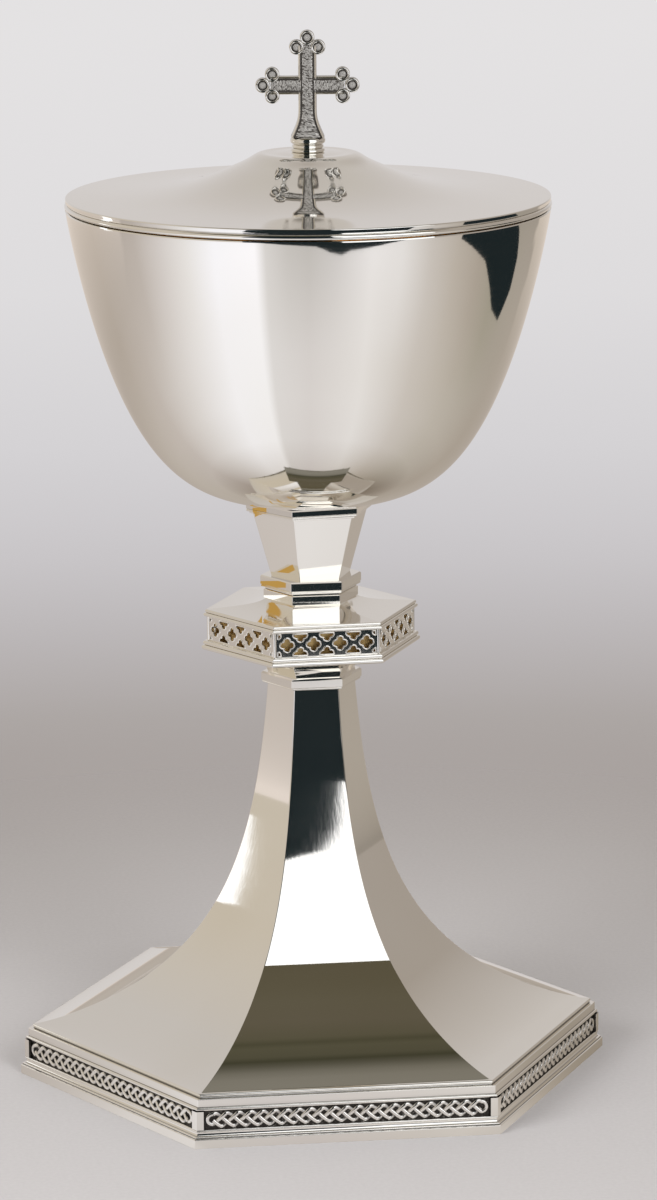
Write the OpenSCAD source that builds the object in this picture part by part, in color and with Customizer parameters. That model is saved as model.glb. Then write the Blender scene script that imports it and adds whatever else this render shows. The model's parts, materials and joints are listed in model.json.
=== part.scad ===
// Ciborium: a footed altar vessel with a hexagonal foot and knop, a round bowl and a
// lift-off cover carrying a cross. Millimetres, +Z up, origin at the middle of the
// resting face of the foot. Hexagons have corners on +X and -X and a flat facing -Y.

/* [Foot] */
// Corner radius of the plinth, the widest part of the foot
base_r = 75.4; // [70:0.2:90]
// Height of the plinth
plinth_h = 2.8; // [2:0.1:6]
// Height of the bead moulding under the frieze
lower_moulding_h = 1.6; // [1.2:0.1:4]
// Height of the frieze of plaitwork
frieze_h = 4.7; // [3.6:0.1:10]
// Height of the double bead moulding over the frieze
upper_moulding_h = 3.9; // [3:0.1:6]
// Height of the trumpet-shaped foot from the mouldings to the stem collar
foot_h = 87.3; // [70:0.5:120]
// Corner radius that the stem tends to at its top
stem_r = 8.4; // [8:0.1:12]
// Height in which the flare of the foot falls to a third
flare_h = 21.2; // [14:0.1:30]
// Hollowness of the flare: the lower, the flatter the foot is at its edge
flare_power = 0.81; // [0.7:0.01:1]
// Thickness of the sheet metal of foot, neck and knop base
sheet_t = 1.2; // [0.8:0.1:2]
// Chevrons in the plaitwork of one frieze panel
plait_repeats = 24; // [9:3:30]

/* [Knop] */
// Corner radius of the lower knop plate, the widest part of the knop
knop_r = 28; // [24:0.5:36]
// Height of the pierced band
band_h = 6.2; // [5:0.1:9]
// Whole quatrefoils in the middle row of one face
foils_per_face = 4; // [3:1:5]
// Radius of one lobe of a quatrefoil
lobe_r = 0.85; // [0.6:0.05:1]
// Turn of the knop on the stem, as it is clamped up
knop_turn = 2.5; // [-10:0.5:10]

/* [Neck] */
// Height of the tapered neck
neck_h = 16.3; // [10:0.1:30]
// Corner radius of the neck at its top
neck_top_r = 14.8; // [13:0.1:15.2]
// Corner radius of the neck at its bottom
neck_bottom_r = 10.2; // [9:0.1:12]
// Turn of the neck and bowl collar on the knop, as they are clamped up
neck_turn = 7; // [-15:0.5:15]

/* [Bowl] */
// Radius of the bowl at its rim
bowl_r = 60; // [50:0.5:75]
// Height of the bowl from its flat bottom to its rim
bowl_h = 73.6; // [60:0.5:95]
// How square the bowl's lower curve is
bowl_power = 3.8; // [2.5:0.1:5]
// Thickness of the bowl wall
bowl_t = 1.2; // [1:0.1:2]

/* [Cover] */
// Height of the cover's dome over its edge
dome_h = 11.2; // [6:0.2:20]
// Radius at which the dome has half its height
dome_r = 23; // [16:0.5:30]
// Depth of the bezel that centres the cover in the bowl
bezel_h = 5; // [3:0.5:10]
// How far the cover lifts to come clear of the bowl
cover_lift = 80; // [40:5:120]
// Turn of the cover on the bowl
cover_turn = -7; // [-30:1:30]

/* [Cross] */
// Height of the cross from its foot to its top
cross_h = 28; // [20:0.5:40]
// Width of the cross over its arms
cross_w = 25.3; // [18:0.1:36]
// Width of each arm
arm_w = 4.5; // [3:0.1:6]
// Thickness of the cross
cross_t = 2.6; // [1.6:0.1:4]

/* [Fixings] */
// Diameter of the tie rod that clamps bowl, neck, knop and foot together
rod_d = 6; // [5:0.5:8]
// Diameter of the threaded stud under the cross
stud_d = 3; // [2:0.5:4]

/* [Hidden] */

sides = 6;
side_turn = 360 / sides;
flat_ratio = cos(side_turn / 2);     // inradius of a hexagon over its corner radius
round_fn = 96;
eps = 0.5;                           // overshoot of a cut beyond the face it goes through

// Levels, from the table upward
lower_moulding_z = plinth_h;
frieze_z = lower_moulding_z + lower_moulding_h;
upper_moulding_z = frieze_z + frieze_h;
foot_z = upper_moulding_z + upper_moulding_h;
stem_collar_z = foot_z + foot_h;
stem_collar_h = 2.9;
knop_base_z = stem_collar_z + stem_collar_h;
knop_base_h = 6.4;
lower_plate_z = knop_base_z + knop_base_h;
lower_plate_h = 2.3;
band_z = lower_plate_z + lower_plate_h;
upper_plate_z = band_z + band_h;
upper_plate_h = 1.8;
cap_z = upper_plate_z + upper_plate_h;
cap_h = 2.2;
knop_collar_z = cap_z + cap_h;
knop_collar_h = 5.9;
neck_z = knop_collar_z + knop_collar_h;
bowl_collar_z = neck_z + neck_h;
bowl_collar_h = 2.8;
bowl_z = bowl_collar_z + bowl_collar_h;
rim_z = bowl_z + bowl_h;

// Foot
plinth_in_r = base_r - 9;
moulding_r = base_r - 1.1;           // the frieze wall's corner radius
moulding_in_r = base_r - 9;
foot_edge_r = base_r - 3.6;
post_w = 1.8;                        // flat corner post at each end of a frieze panel
recess_t = 0.9;
panel_t = 0.4;
strand_t = 0.4;
strand_root = 0.1;                   // how far the strands run down into their panel
strand_half_h = 0.75;                // half of a slanting strand's height
strand_margin = 0.5;                 // bare ground above and below the plait
strands = 3;
panel_w = moulding_r - 2 * post_w;

// Knop
band_r = knop_r - 1.4;
band_t = 1;
lining_r = band_r - 2.4;
lining_t = 0.8;
knop_core_r = 10.6;
knop_edge_r = knop_r - 1.8;
foil_pitch = band_r / foils_per_face;
foil_reach = 0.95;                   // from the middle of a quatrefoil to each lobe
row_pitch = 2.45;
band_margin = 0.35;                  // solid metal above and below the piercings
band_corner = 1;                     // solid metal beside each corner of the band
knop_base_fall = 1.9;                // how fast the knop's base draws in below its plate
knop_cap_fall = 0.8;                 // how fast the cap rises beside the collar
collar_r = 12.8;
collar_step_r = 12;

// Neck, bowl collar and bowl
bowl_collar_r = neck_top_r + 1.8;
boss_r = 9;
boss_h = 7;
boss_cap = 1;                        // metal left over the end of the tie rod
bowl_top_power = 1.1;                // how nearly straight the bowl's wall meets the rim

// Cover
seat_gap = 0.2;                      // between the bowl's rim and the cover at rest
cover_rim_z = rim_z + seat_gap;
cover_rim_h = 1.7;
cover_edge_z = cover_rim_z + cover_rim_h;
cover_t = 1;
cover_r = bowl_r;
dome_power = 3.4;
dome_flat_r = 5;
shoulder_h = 0.8;                    // the dome's rounded shoulder: rise, radius, spread
shoulder_r = 12.2;
shoulder_w = 2.4;
shell_edge_h = 0.6;                  // upright edge of the cover's shell
dome_top_z = cover_edge_z + shell_edge_h + dome_rise(dome_flat_r);
bezel_clear = 0.4;
bezel_r = bowl_in_r(bezel_h) - bezel_clear;
bezel_t = 1;
finial_collar_h = 1.9;
finial_collar_r = 4.2;
top_arm = 13.5;                      // from the middle of the cross to its top
cross_base_r = 4.2;
cross_base_h = 1.8;
cross_flare_h = 7;
cross_flare_power = 1.1;
trefoil_r = 1.8;                     // radius of one lobe at the end of an arm
trefoil_spread = 2.65;               // from the arm's middle line to each side lobe
trefoil_back = 2.35;                 // from the end lobe back to the side lobes
arm_short = trefoil_r + trefoil_back;

// Fixings
rod_r = rod_d / 2;
rod_clear = 0.2;
rod_tail = 2;                        // thread that shows beyond the nut
nut_h = 5;
nut_r = 5.8;
washer_r = 8;
washer_h = 1.2;
stud_r = stud_d / 2;
stud_nut_h = 2.4;
stud_nut_r = 3.2;
stud_washer_h = 0.6;
stud_washer_r = 4.5;
stud_tail = 1;

function reversed(list) = [for (i = [len(list) - 1:-1:0]) list[i]];

// Points of a half-round bead that stands out from radius r between two heights
function bead(r, z, h, n = 6) =
    [for (i = [0:n]) let (a = -90 + 180 * i / n) [r + h / 2 * cos(a), z + h / 2 + h / 2 * sin(a)]];

// Corner radius of the foot at a height above its lower edge
function foot_radius(h) = stem_r + (foot_edge_r - stem_r) * exp(-pow(h / flare_h, flare_power));

// Corner radius of the knop's concave surfaces at a distance from their wide edge
function knop_radius(h, fall) = knop_core_r + (knop_edge_r - knop_core_r) * exp(-h / fall);

// Depth below the rim, as a share of the bowl's height, where the radius is s of the rim's
function bowl_depth(s) = pow(1 - pow(s, bowl_power), 1 / bowl_top_power);

// Inner radius of the bowl at depth d under its rim
function bowl_in_r(d) =
    (bowl_r - bowl_t) * pow(1 - pow(d / (bowl_h - bowl_t), bowl_top_power), 1 / bowl_power);

// Height of the cover's upper surface over its edge
function dome_rise(r) = dome_h / (1 + pow(r / dome_r, dome_power))
    + shoulder_h * exp(-pow((r - shoulder_r) / shoulder_w, 2));

module round_hole(r, h) {
    translate([0, 0, -eps]) cylinder(r = r, h = h + 2 * eps, $fn = round_fn);
}

module hex_ring(r, in_r, h) {
    difference() {
        cylinder(r = r, h = h, $fn = sides);
        translate([0, 0, -eps]) cylinder(r = in_r, h = h + 2 * eps, $fn = sides);
    }
}

module hex_plate(r, h, hole_r) {
    difference() {
        cylinder(r = r, h = h, $fn = sides);
        round_hole(hole_r, h);
    }
}

// Hexagonal piece whose corner radius follows a list of [radius, height] points
module hex_turned(points) {
    rotate_extrude($fn = sides) polygon(points);
}

module on_each_side() {
    for (i = [0:sides - 1]) rotate([0, 0, i * side_turn]) children();
}

module plinth() {
    edge = 0.5;
    color("silver") union() {
        hex_ring(base_r, plinth_in_r, plinth_h - edge);
        translate([0, 0, plinth_h - edge]) hex_ring(base_r - edge, plinth_in_r, edge);
    }
}

// A cove that rises from the plinth to a small bead under the frieze
module lower_moulding() {
    n = 6;
    cove_h = 0.9;
    cove_d = 0.55;
    bead_h = lower_moulding_h - cove_h;
    bead_r = moulding_r - 0.45;
    cove = [for (i = [0:n]) let (a = 90 * i / n)
        [bead_r + cove_d * (1 - sin(a)), lower_moulding_z + cove_h * (1 - cos(a))]];
    color("silver") hex_turned(concat(
        [[moulding_in_r, lower_moulding_z]], cove,
        bead(bead_r, lower_moulding_z + cove_h, bead_h), [[moulding_in_r, frieze_z]]));
}

module frieze_wall() {
    color("silver") translate([0, 0, frieze_z]) difference() {
        hex_ring(moulding_r, moulding_in_r, frieze_h);
        on_each_side()
            translate([-panel_w / 2, -moulding_r * flat_ratio - eps, -eps])
                cube([panel_w, recess_t + eps, frieze_h + 2 * eps]);
    }
}

// Height of a triangle wave of period 1 and amplitude 1 at x
function zigzag(x) = 4 * abs(x - floor(x + 0.5)) - 1;

// One strand of the plait: a zigzag that is shifted along by a share of its period. It
// has a point wherever it turns, which falls on every third of its sixths of a period.
module strand(length, period, k) {
    amplitude = frieze_h / 2 - strand_half_h / 2 - strand_margin;
    last = round(6 * length / period);
    turns = [for (j = [0:last]) if (j == 0 || j == last || (j + 2 * k) % 3 == 0) j];
    line = [for (j = turns) [j * period / 6, amplitude * zigzag(j / 6 + k / strands)]];
    polygon(concat(
        [for (p = line) [p[0], p[1] + strand_half_h]],
        [for (p = reversed(line)) [p[0], p[1] - strand_half_h]]));
}

module plait_panel(index) {
    period = strands * panel_w / plait_repeats;
    floor_y = -moulding_r * flat_ratio + recess_t;
    color("gainsboro") rotate([0, 0, (index - 1) * side_turn])
        translate([-panel_w / 2, floor_y, frieze_z + frieze_h / 2]) rotate([90, 0, 0]) union() {
            translate([0, -frieze_h / 2, 0]) cube([panel_w, frieze_h, panel_t]);
            translate([0, 0, panel_t - strand_root]) linear_extrude(strand_t + strand_root)
                for (k = [0:strands - 1]) strand(panel_w, period, k);
        }
}

// From the frieze up: a bead, a flat fascia, a quirk and the roll that edges the foot
module upper_moulding() {
    bead_h = 0.85;
    roll_h = 0.8;
    quirk_h = 0.25;
    soft = 0.2;                      // bevel along the fascia's edges
    bead_r = moulding_r - 0.75;
    fascia_r = moulding_r - 1;
    roll_r = foot_edge_r;
    quirk_r = foot_edge_r + 0.2;
    fascia_z = upper_moulding_z + bead_h;
    quirk_z = foot_z - roll_h - quirk_h;
    color("silver") hex_turned(concat(
        [[moulding_in_r, upper_moulding_z]],
        bead(bead_r, upper_moulding_z, bead_h),
        [[fascia_r - soft, fascia_z], [fascia_r, fascia_z + soft], [fascia_r, quirk_z - soft],
            [fascia_r - soft, quirk_z], [quirk_r, quirk_z]],
        bead(roll_r, quirk_z + quirk_h, roll_h),
        [[moulding_in_r, foot_z]]));
}

module foot() {
    n = 26;
    heights = [for (i = [0:n]) foot_h * pow(i / n, 1.6)];
    color("silver") translate([0, 0, foot_z]) hex_turned(concat(
        [for (h = heights) [foot_radius(h), h]],
        [for (h = reversed(heights)) [foot_radius(h + sheet_t) - sheet_t, h]]));
}

module stem_collar() {
    lip_h = 0.5;
    lip_r = collar_r - 0.4;
    color("silver") translate([0, 0, stem_collar_z]) union() {
        hex_plate(lip_r, lip_h, rod_r + rod_clear);
        translate([0, 0, lip_h])
            hex_plate(collar_r, stem_collar_h - lip_h, rod_r + rod_clear);
    }
}

module knop_base() {
    n = 12;
    hollow_r = knop_core_r - 2.5;
    depths = [for (i = [0:n]) knop_base_h * pow(i / n, 1.5)];
    color("silver") translate([0, 0, lower_plate_z]) rotate([0, 0, knop_turn]) difference() {
        hex_turned(concat(
            [for (d = depths) [knop_radius(d, knop_base_fall), -d]],
            [[0, -knop_base_h], [0, 0]]));
        translate([0, 0, sheet_t - knop_base_h])
            cylinder(r = hollow_r, h = knop_base_h, $fn = sides);
        translate([0, 0, -knop_base_h]) round_hole(rod_r + rod_clear, sheet_t);
    }
}

// Plate of the knop with a double bead along its edge, the upper one set back a little
module knop_plate(r, z, h) {
    bead_h = h / 2;
    step = 0.4;
    color("silver") translate([0, 0, z]) rotate([0, 0, knop_turn]) difference() {
        hex_turned(concat([[0, 0]], bead(r - bead_h / 2, 0, bead_h),
            bead(r - bead_h / 2 - step, bead_h, bead_h), [[0, h]]));
        round_hole(rod_r + rod_clear, h);
    }
}

module knop_lower_plate() {
    knop_plate(knop_r, lower_plate_z, lower_plate_h);
}

module knop_upper_plate() {
    knop_plate(knop_r - 0.6, upper_plate_z, upper_plate_h);
}

module quatrefoil() {
    square(2 * foil_reach, center = true);
    for (a = [0:90:270]) rotate(a) translate([foil_reach, 0]) circle(r = lobe_r, $fn = 32);
}

// Piercings of one face: a whole row between two rows that the plates cut off
module face_piercings() {
    last = foils_per_face - 1;
    intersection() {
        square([band_r - 2 * band_corner, band_h - 2 * band_margin], center = true);
        union() {
            for (i = [0:last]) translate([(i - last / 2) * foil_pitch, 0]) quatrefoil();
            for (row = [-1, 1], i = [0:foils_per_face])
                translate([(i - foils_per_face / 2) * foil_pitch, row * row_pitch]) quatrefoil();
        }
    }
}

module knop_band() {
    color("silver") translate([0, 0, band_z]) rotate([0, 0, knop_turn]) difference() {
        hex_ring(band_r, band_r - band_t / flat_ratio, band_h);
        on_each_side()
            translate([0, -band_r * flat_ratio - eps, band_h / 2]) rotate([-90, 0, 0])
                linear_extrude(band_t + 2 * eps) face_piercings();
    }
}

module knop_lining() {
    color("goldenrod") translate([0, 0, band_z]) rotate([0, 0, knop_turn])
        hex_ring(lining_r, lining_r - lining_t, band_h);
}

module knop_cap() {
    n = 10;
    heights = [for (i = [0:n]) cap_h * pow(i / n, 1.5)];
    color("silver") translate([0, 0, cap_z]) rotate([0, 0, knop_turn]) difference() {
        hex_turned(concat(
            [[0, 0]], [for (h = heights) [knop_radius(h, knop_cap_fall), h]], [[0, cap_h]]));
        round_hole(rod_r + rod_clear, cap_h);
    }
}

module knop_collar() {
    step_h = 2.4;
    groove_h = 0.5;
    groove_r = collar_step_r - 0.4;
    top_z = step_h + groove_h;
    hole_r = rod_r + rod_clear;
    color("silver") translate([0, 0, knop_collar_z]) union() {
        hex_plate(collar_step_r, step_h, hole_r);
        translate([0, 0, step_h]) hex_plate(groove_r, groove_h, hole_r);
        translate([0, 0, top_z]) hex_plate(collar_r, knop_collar_h - top_z, hole_r);
    }
}

module neck() {
    color("silver") translate([0, 0, neck_z]) rotate([0, 0, neck_turn]) hex_turned([
        [neck_bottom_r - sheet_t, 0], [neck_bottom_r, 0],
        [neck_top_r, neck_h], [neck_top_r - sheet_t, neck_h]]);
}

module bowl_collar() {
    lip_h = 0.5;
    lip_r = bowl_collar_r - 0.8;
    color("silver") translate([0, 0, bowl_collar_z]) rotate([0, 0, neck_turn]) union() {
        hex_plate(lip_r, lip_h, boss_r);
        translate([0, 0, lip_h]) hex_plate(bowl_collar_r, bowl_collar_h - lip_h, boss_r);
    }
}

// Boss under the bowl with a blind hole that takes the end of the tie rod
module bowl_boss() {
    color("goldenrod") translate([0, 0, bowl_z - boss_h]) difference() {
        cylinder(r = boss_r, h = boss_h, $fn = round_fn);
        translate([0, 0, -eps])
            cylinder(r = rod_r, h = boss_h - boss_cap + eps, $fn = round_fn);
    }
}

// Half outline of the bowl's wall, taken in by the given amount, from the rim down
function bowl_curve(inset, n = 24) = [
    for (i = [0:n])
        let (s = cos(90 * i / n))
        [s * (bowl_r - inset), rim_z - bowl_depth(s) * (bowl_h - inset)]];

module bowl() {
    color("silver") rotate_extrude($fn = round_fn)
        polygon(concat(bowl_curve(0), reversed(bowl_curve(bowl_t))));
}

module tie_rod() {
    rod_z = stem_collar_z - washer_h - nut_h - rod_tail;
    rod_top_z = bowl_z - boss_cap;
    color("goldenrod") translate([0, 0, rod_z])
        cylinder(r = rod_r, h = rod_top_z - rod_z, $fn = round_fn);
}

module rod_washer() {
    color("goldenrod") translate([0, 0, stem_collar_z - washer_h]) difference() {
        cylinder(r = washer_r, h = washer_h, $fn = round_fn);
        round_hole(rod_r + rod_clear, washer_h);
    }
}

module rod_nut() {
    color("goldenrod") translate([0, 0, stem_collar_z - washer_h - nut_h])
        hex_plate(nut_r, nut_h, rod_r);
}

module cover_shell() {
    n = 26;
    joint_r = bezel_r - bezel_t - 1;     // beyond it the underside is flat, to sit on the rim
    radii = [for (i = [0:n]) dome_flat_r + (cover_r - dome_flat_r) * i / n];
    inner = [for (r = radii) if (r < joint_r - 2) r];
    top_z = cover_edge_z + shell_edge_h;
    color("silver") rotate([0, 0, cover_turn]) rotate_extrude($fn = round_fn) polygon(concat(
        [[stud_r, top_z + dome_rise(dome_flat_r)]],
        [for (r = radii) [r, top_z + dome_rise(r)]],
        [[cover_r, cover_edge_z], [joint_r, cover_edge_z]],
        [for (r = reversed(inner)) [r, top_z - cover_t + dome_rise(r)]],
        [[stud_r, top_z - cover_t + dome_rise(dome_flat_r)]]));
}

// Bead that rests on the bowl's rim, with a thin neck between it and the cover's shell
module cover_rim() {
    in_r = bezel_r - bezel_t;
    neck_r = cover_r - 0.5;
    bead_h = cover_rim_h - 0.3;
    color("silver") rotate_extrude($fn = round_fn) polygon(concat(
        [[in_r, cover_rim_z]], bead(cover_r + 0.2 - bead_h / 2, cover_rim_z, bead_h, 8),
        [[neck_r, cover_edge_z], [in_r, cover_edge_z]]));
}

module cover_bezel() {
    color("gold") translate([0, 0, cover_rim_z - bezel_h]) difference() {
        cylinder(r = bezel_r, h = bezel_h, $fn = round_fn);
        round_hole(bezel_r - bezel_t, bezel_h);
    }
}

module finial_collar() {
    h = finial_collar_h / 2;
    upper_r = finial_collar_r - 0.3;
    color("silver") translate([0, 0, dome_top_z]) difference() {
        union() {
            cylinder(r = finial_collar_r, h = h, $fn = round_fn);
            translate([0, 0, h]) cylinder(r = upper_r, h = h, $fn = round_fn);
        }
        round_hole(stud_r, finial_collar_h);
    }
}

// Three lobes at the end of an arm that reaches out to the given length along +X
module trefoil(reach) {
    side_x = reach - arm_short;
    for (y = [-trefoil_spread, trefoil_spread])
        translate([side_x, y]) circle(r = trefoil_r, $fn = 32);
    translate([reach - trefoil_r, 0]) circle(r = trefoil_r, $fn = 32);
    translate([side_x, -trefoil_r]) square([trefoil_back, 2 * trefoil_r]);
}

module cross_outline() {
    lower_arm = cross_h - top_arm;
    translate([-arm_w / 2, -lower_arm]) square([arm_w, cross_h - arm_short]);
    square([cross_w - 2 * arm_short, arm_w], center = true);
    trefoil(cross_w / 2);
    rotate(180) trefoil(cross_w / 2);
    rotate(90) trefoil(top_arm);
}

// Flat cross standing on a round base that flares out from the lower arm
module cross() {
    n = 8;
    flare_r = cross_t / 2 - 0.2;
    flare = [for (i = [0:n]) [flare_r + (cross_base_r - flare_r) * pow(1 - i / n, cross_flare_power),
        cross_base_h + cross_flare_h * i / n]];
    color("silver") translate([0, 0, dome_top_z + finial_collar_h]) rotate([0, 0, cover_turn])
        union() {
            translate([0, cross_t / 2, cross_h - top_arm]) rotate([90, 0, 0])
                linear_extrude(cross_t) cross_outline();
            rotate_extrude($fn = round_fn) polygon(concat(
                [[0, 0], [cross_base_r, 0]], flare, [[0, cross_base_h + cross_flare_h]]));
        }
}

module finial_stud() {
    stud_z = dome_top_z - cover_t - stud_washer_h - stud_nut_h - stud_tail;
    color("goldenrod") translate([0, 0, stud_z])
        cylinder(r = stud_r, h = dome_top_z + finial_collar_h - stud_z, $fn = round_fn);
}

module finial_washer() {
    color("goldenrod") translate([0, 0, dome_top_z - cover_t - stud_washer_h]) difference() {
        cylinder(r = stud_washer_r, h = stud_washer_h, $fn = round_fn);
        round_hole(stud_r, stud_washer_h);
    }
}

module finial_nut() {
    color("goldenrod") translate([0, 0, dome_top_z - cover_t - stud_washer_h - stud_nut_h])
        hex_plate(stud_nut_r, stud_nut_h, stud_r);
}

plinth();
lower_moulding();
frieze_wall();
for (i = [1:sides]) plait_panel(i);
upper_moulding();
foot();
stem_collar();
knop_base();
knop_lower_plate();
knop_band();
knop_lining();
knop_upper_plate();
knop_cap();
knop_collar();
neck();
bowl_collar();
bowl_boss();
bowl();
tie_rod();
rod_washer();
rod_nut();
cover_shell();
cover_rim();
cover_bezel();
finial_collar();
cross();
finial_stud();
finial_washer();
finial_nut();
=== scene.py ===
import json
import math
import random

import bmesh
import bpy
import numpy as np
from mathutils import Matrix, Vector


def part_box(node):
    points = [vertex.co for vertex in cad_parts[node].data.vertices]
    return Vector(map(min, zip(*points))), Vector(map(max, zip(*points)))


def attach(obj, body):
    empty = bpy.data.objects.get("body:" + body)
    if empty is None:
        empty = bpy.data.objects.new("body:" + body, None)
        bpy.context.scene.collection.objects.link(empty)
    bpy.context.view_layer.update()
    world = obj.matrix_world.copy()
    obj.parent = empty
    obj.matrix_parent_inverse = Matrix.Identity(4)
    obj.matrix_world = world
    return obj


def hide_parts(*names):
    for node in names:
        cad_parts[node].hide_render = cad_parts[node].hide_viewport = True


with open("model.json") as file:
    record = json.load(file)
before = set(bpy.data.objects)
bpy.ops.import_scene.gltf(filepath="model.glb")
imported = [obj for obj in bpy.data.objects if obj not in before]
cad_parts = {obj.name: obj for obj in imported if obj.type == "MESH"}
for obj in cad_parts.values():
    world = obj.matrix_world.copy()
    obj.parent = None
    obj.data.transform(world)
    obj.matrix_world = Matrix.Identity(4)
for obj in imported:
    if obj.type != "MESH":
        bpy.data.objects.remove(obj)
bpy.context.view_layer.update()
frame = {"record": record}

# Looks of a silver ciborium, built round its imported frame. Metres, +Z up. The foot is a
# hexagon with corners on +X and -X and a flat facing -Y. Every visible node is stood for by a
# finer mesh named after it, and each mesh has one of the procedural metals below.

MM = 0.001
SIDES = 6
FLAT = math.cos(math.pi / SIDES)          # inradius of a hexagon over its corner radius
ROUND_COLUMNS = 192
KNOP_TURN = math.radians(2.5)
NECK_TURN = math.radians(7)
COVER_TURN = math.radians(-7)
VESSEL = "vessel"
COVER = "cover"
HAND = random.Random(7)                   # small irregularities of hand work


# Places, read from the frame

def low(node):
    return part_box(node)[0].z


def high(node):
    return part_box(node)[1].z


def reach(node, turn=0.0):
    """Corner radius of a hexagonal node that is turned on its axis, or radius of a round one."""
    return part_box(node)[1].x / math.cos(turn)


def span(node, turn=0.0):
    """Radius, bottom and top of a node."""
    return reach(node, turn), low(node), high(node)


# Outlines of rings: lists of (x, y, heading before, heading after) round the axis

def ring_round(r, columns=ROUND_COLUMNS):
    angles = [2 * math.pi * i / columns for i in range(columns)]
    return [(r * math.cos(a), r * math.sin(a), a, a) for a in angles]


def ring_hex(fillet, turn=0.0, steps=3):
    """A function that gives a hexagon of corner radius r with its corners rounded to fillet."""
    half = math.pi / SIDES

    def ring(r):
        points = []
        for k in range(SIDES):
            corner = turn + 2 * half * k
            inset = r - fillet / FLAT
            for s in range(-steps, steps + 1):
                a = corner + half * s / steps
                x = inset * math.cos(corner) + fillet * math.cos(a)
                y = inset * math.sin(corner) + fillet * math.sin(a)
                points.append((x, y, a, a))
        return points
    return ring


# Profiles: closed lists of (radius, height), anticlockwise with the axis on the left

def half_round(r, z, h, steps=10):
    """A half-round bead that stands out from radius r between z and z + h."""
    angles = [math.pi * (i / steps - 0.5) for i in range(steps + 1)]
    return [(r + h / 2 * math.cos(a), z + h / 2 + h / 2 * math.sin(a)) for a in angles]


def soften(points, radius, sharpest=28, steps=3):
    """Rounds each corner of a closed profile that turns by more than sharpest degrees."""
    out = []
    for i, p in enumerate(points):
        a, b = points[i - 1], points[(i + 1) % len(points)]
        u, v = Vector(a) - Vector(p), Vector(b) - Vector(p)
        if not u.length or not v.length:
            continue
        turn = math.pi - u.angle(v)
        if turn < math.radians(sharpest) or p[0] == 0:
            out.append(p)
            continue
        cut = min(radius * math.tan(turn / 2), 0.45 * u.length, 0.45 * v.length)
        start, end, mid = Vector(p) + u.normalized() * cut, Vector(p) + v.normalized() * cut, Vector(p)
        for k in range(steps + 1):
            t = k / steps
            q = (1 - t) ** 2 * start + 2 * t * (1 - t) * mid + t ** 2 * end
            out.append((q.x, q.y))
    return out


# Mesh building

def new_object(name, data):
    obj = bpy.data.objects.new(name, data)
    bpy.context.scene.collection.objects.link(obj)
    return obj


def finish_mesh(name, verts, faces, normals=None):
    """A linked object from plain lists, with a normal for each corner of each face if given."""
    mesh = bpy.data.meshes.new(name)
    mesh.from_pydata(verts, [], faces)
    mesh.shade_smooth()
    if normals:
        mesh.normals_split_custom_set(normals)
    return new_object(name, mesh)


def set_tarnish_and_shade(obj, values):
    """How dark each vert is, from 0 to 1, which the silver reads: dark tarnish and painted shade together."""
    obj.data.attributes.new("tarnish", "FLOAT", "POINT").data.foreach_set("value", values)


def grooves(profile, reach_in=0.13 * MM):
    """The profile with guard points beside its sharp hollows, and how deep in a hollow each
    point is."""
    def turn(i):
        a, p, b = profile[i - 1], profile[i], profile[(i + 1) % len(profile)]
        u, v = (p[0] - a[0], p[1] - a[1]), (b[0] - p[0], b[1] - p[1])
        return math.degrees(math.atan2(u[0] * v[1] - u[1] * v[0], u[0] * v[0] + u[1] * v[1]))

    depths = [min(1.0, max(0.0, (-turn(i) - 9) / 14)) for i in range(len(profile))]
    points, dark = [], []
    for i, p in enumerate(profile):
        points.append(p)
        dark.append(depths[i])
        q, j = profile[(i + 1) % len(profile)], (i + 1) % len(profile)
        length = math.hypot(q[0] - p[0], q[1] - p[1])
        if length > 3 * reach_in and (depths[i] > 0.2 or depths[j] > 0.2):
            for t in (reach_in / length, 1 - reach_in / length):
                points.append((p[0] + (q[0] - p[0]) * t, p[1] + (q[1] - p[1]) * t))
                dark.append(0.0)
    return points, dark


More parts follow.
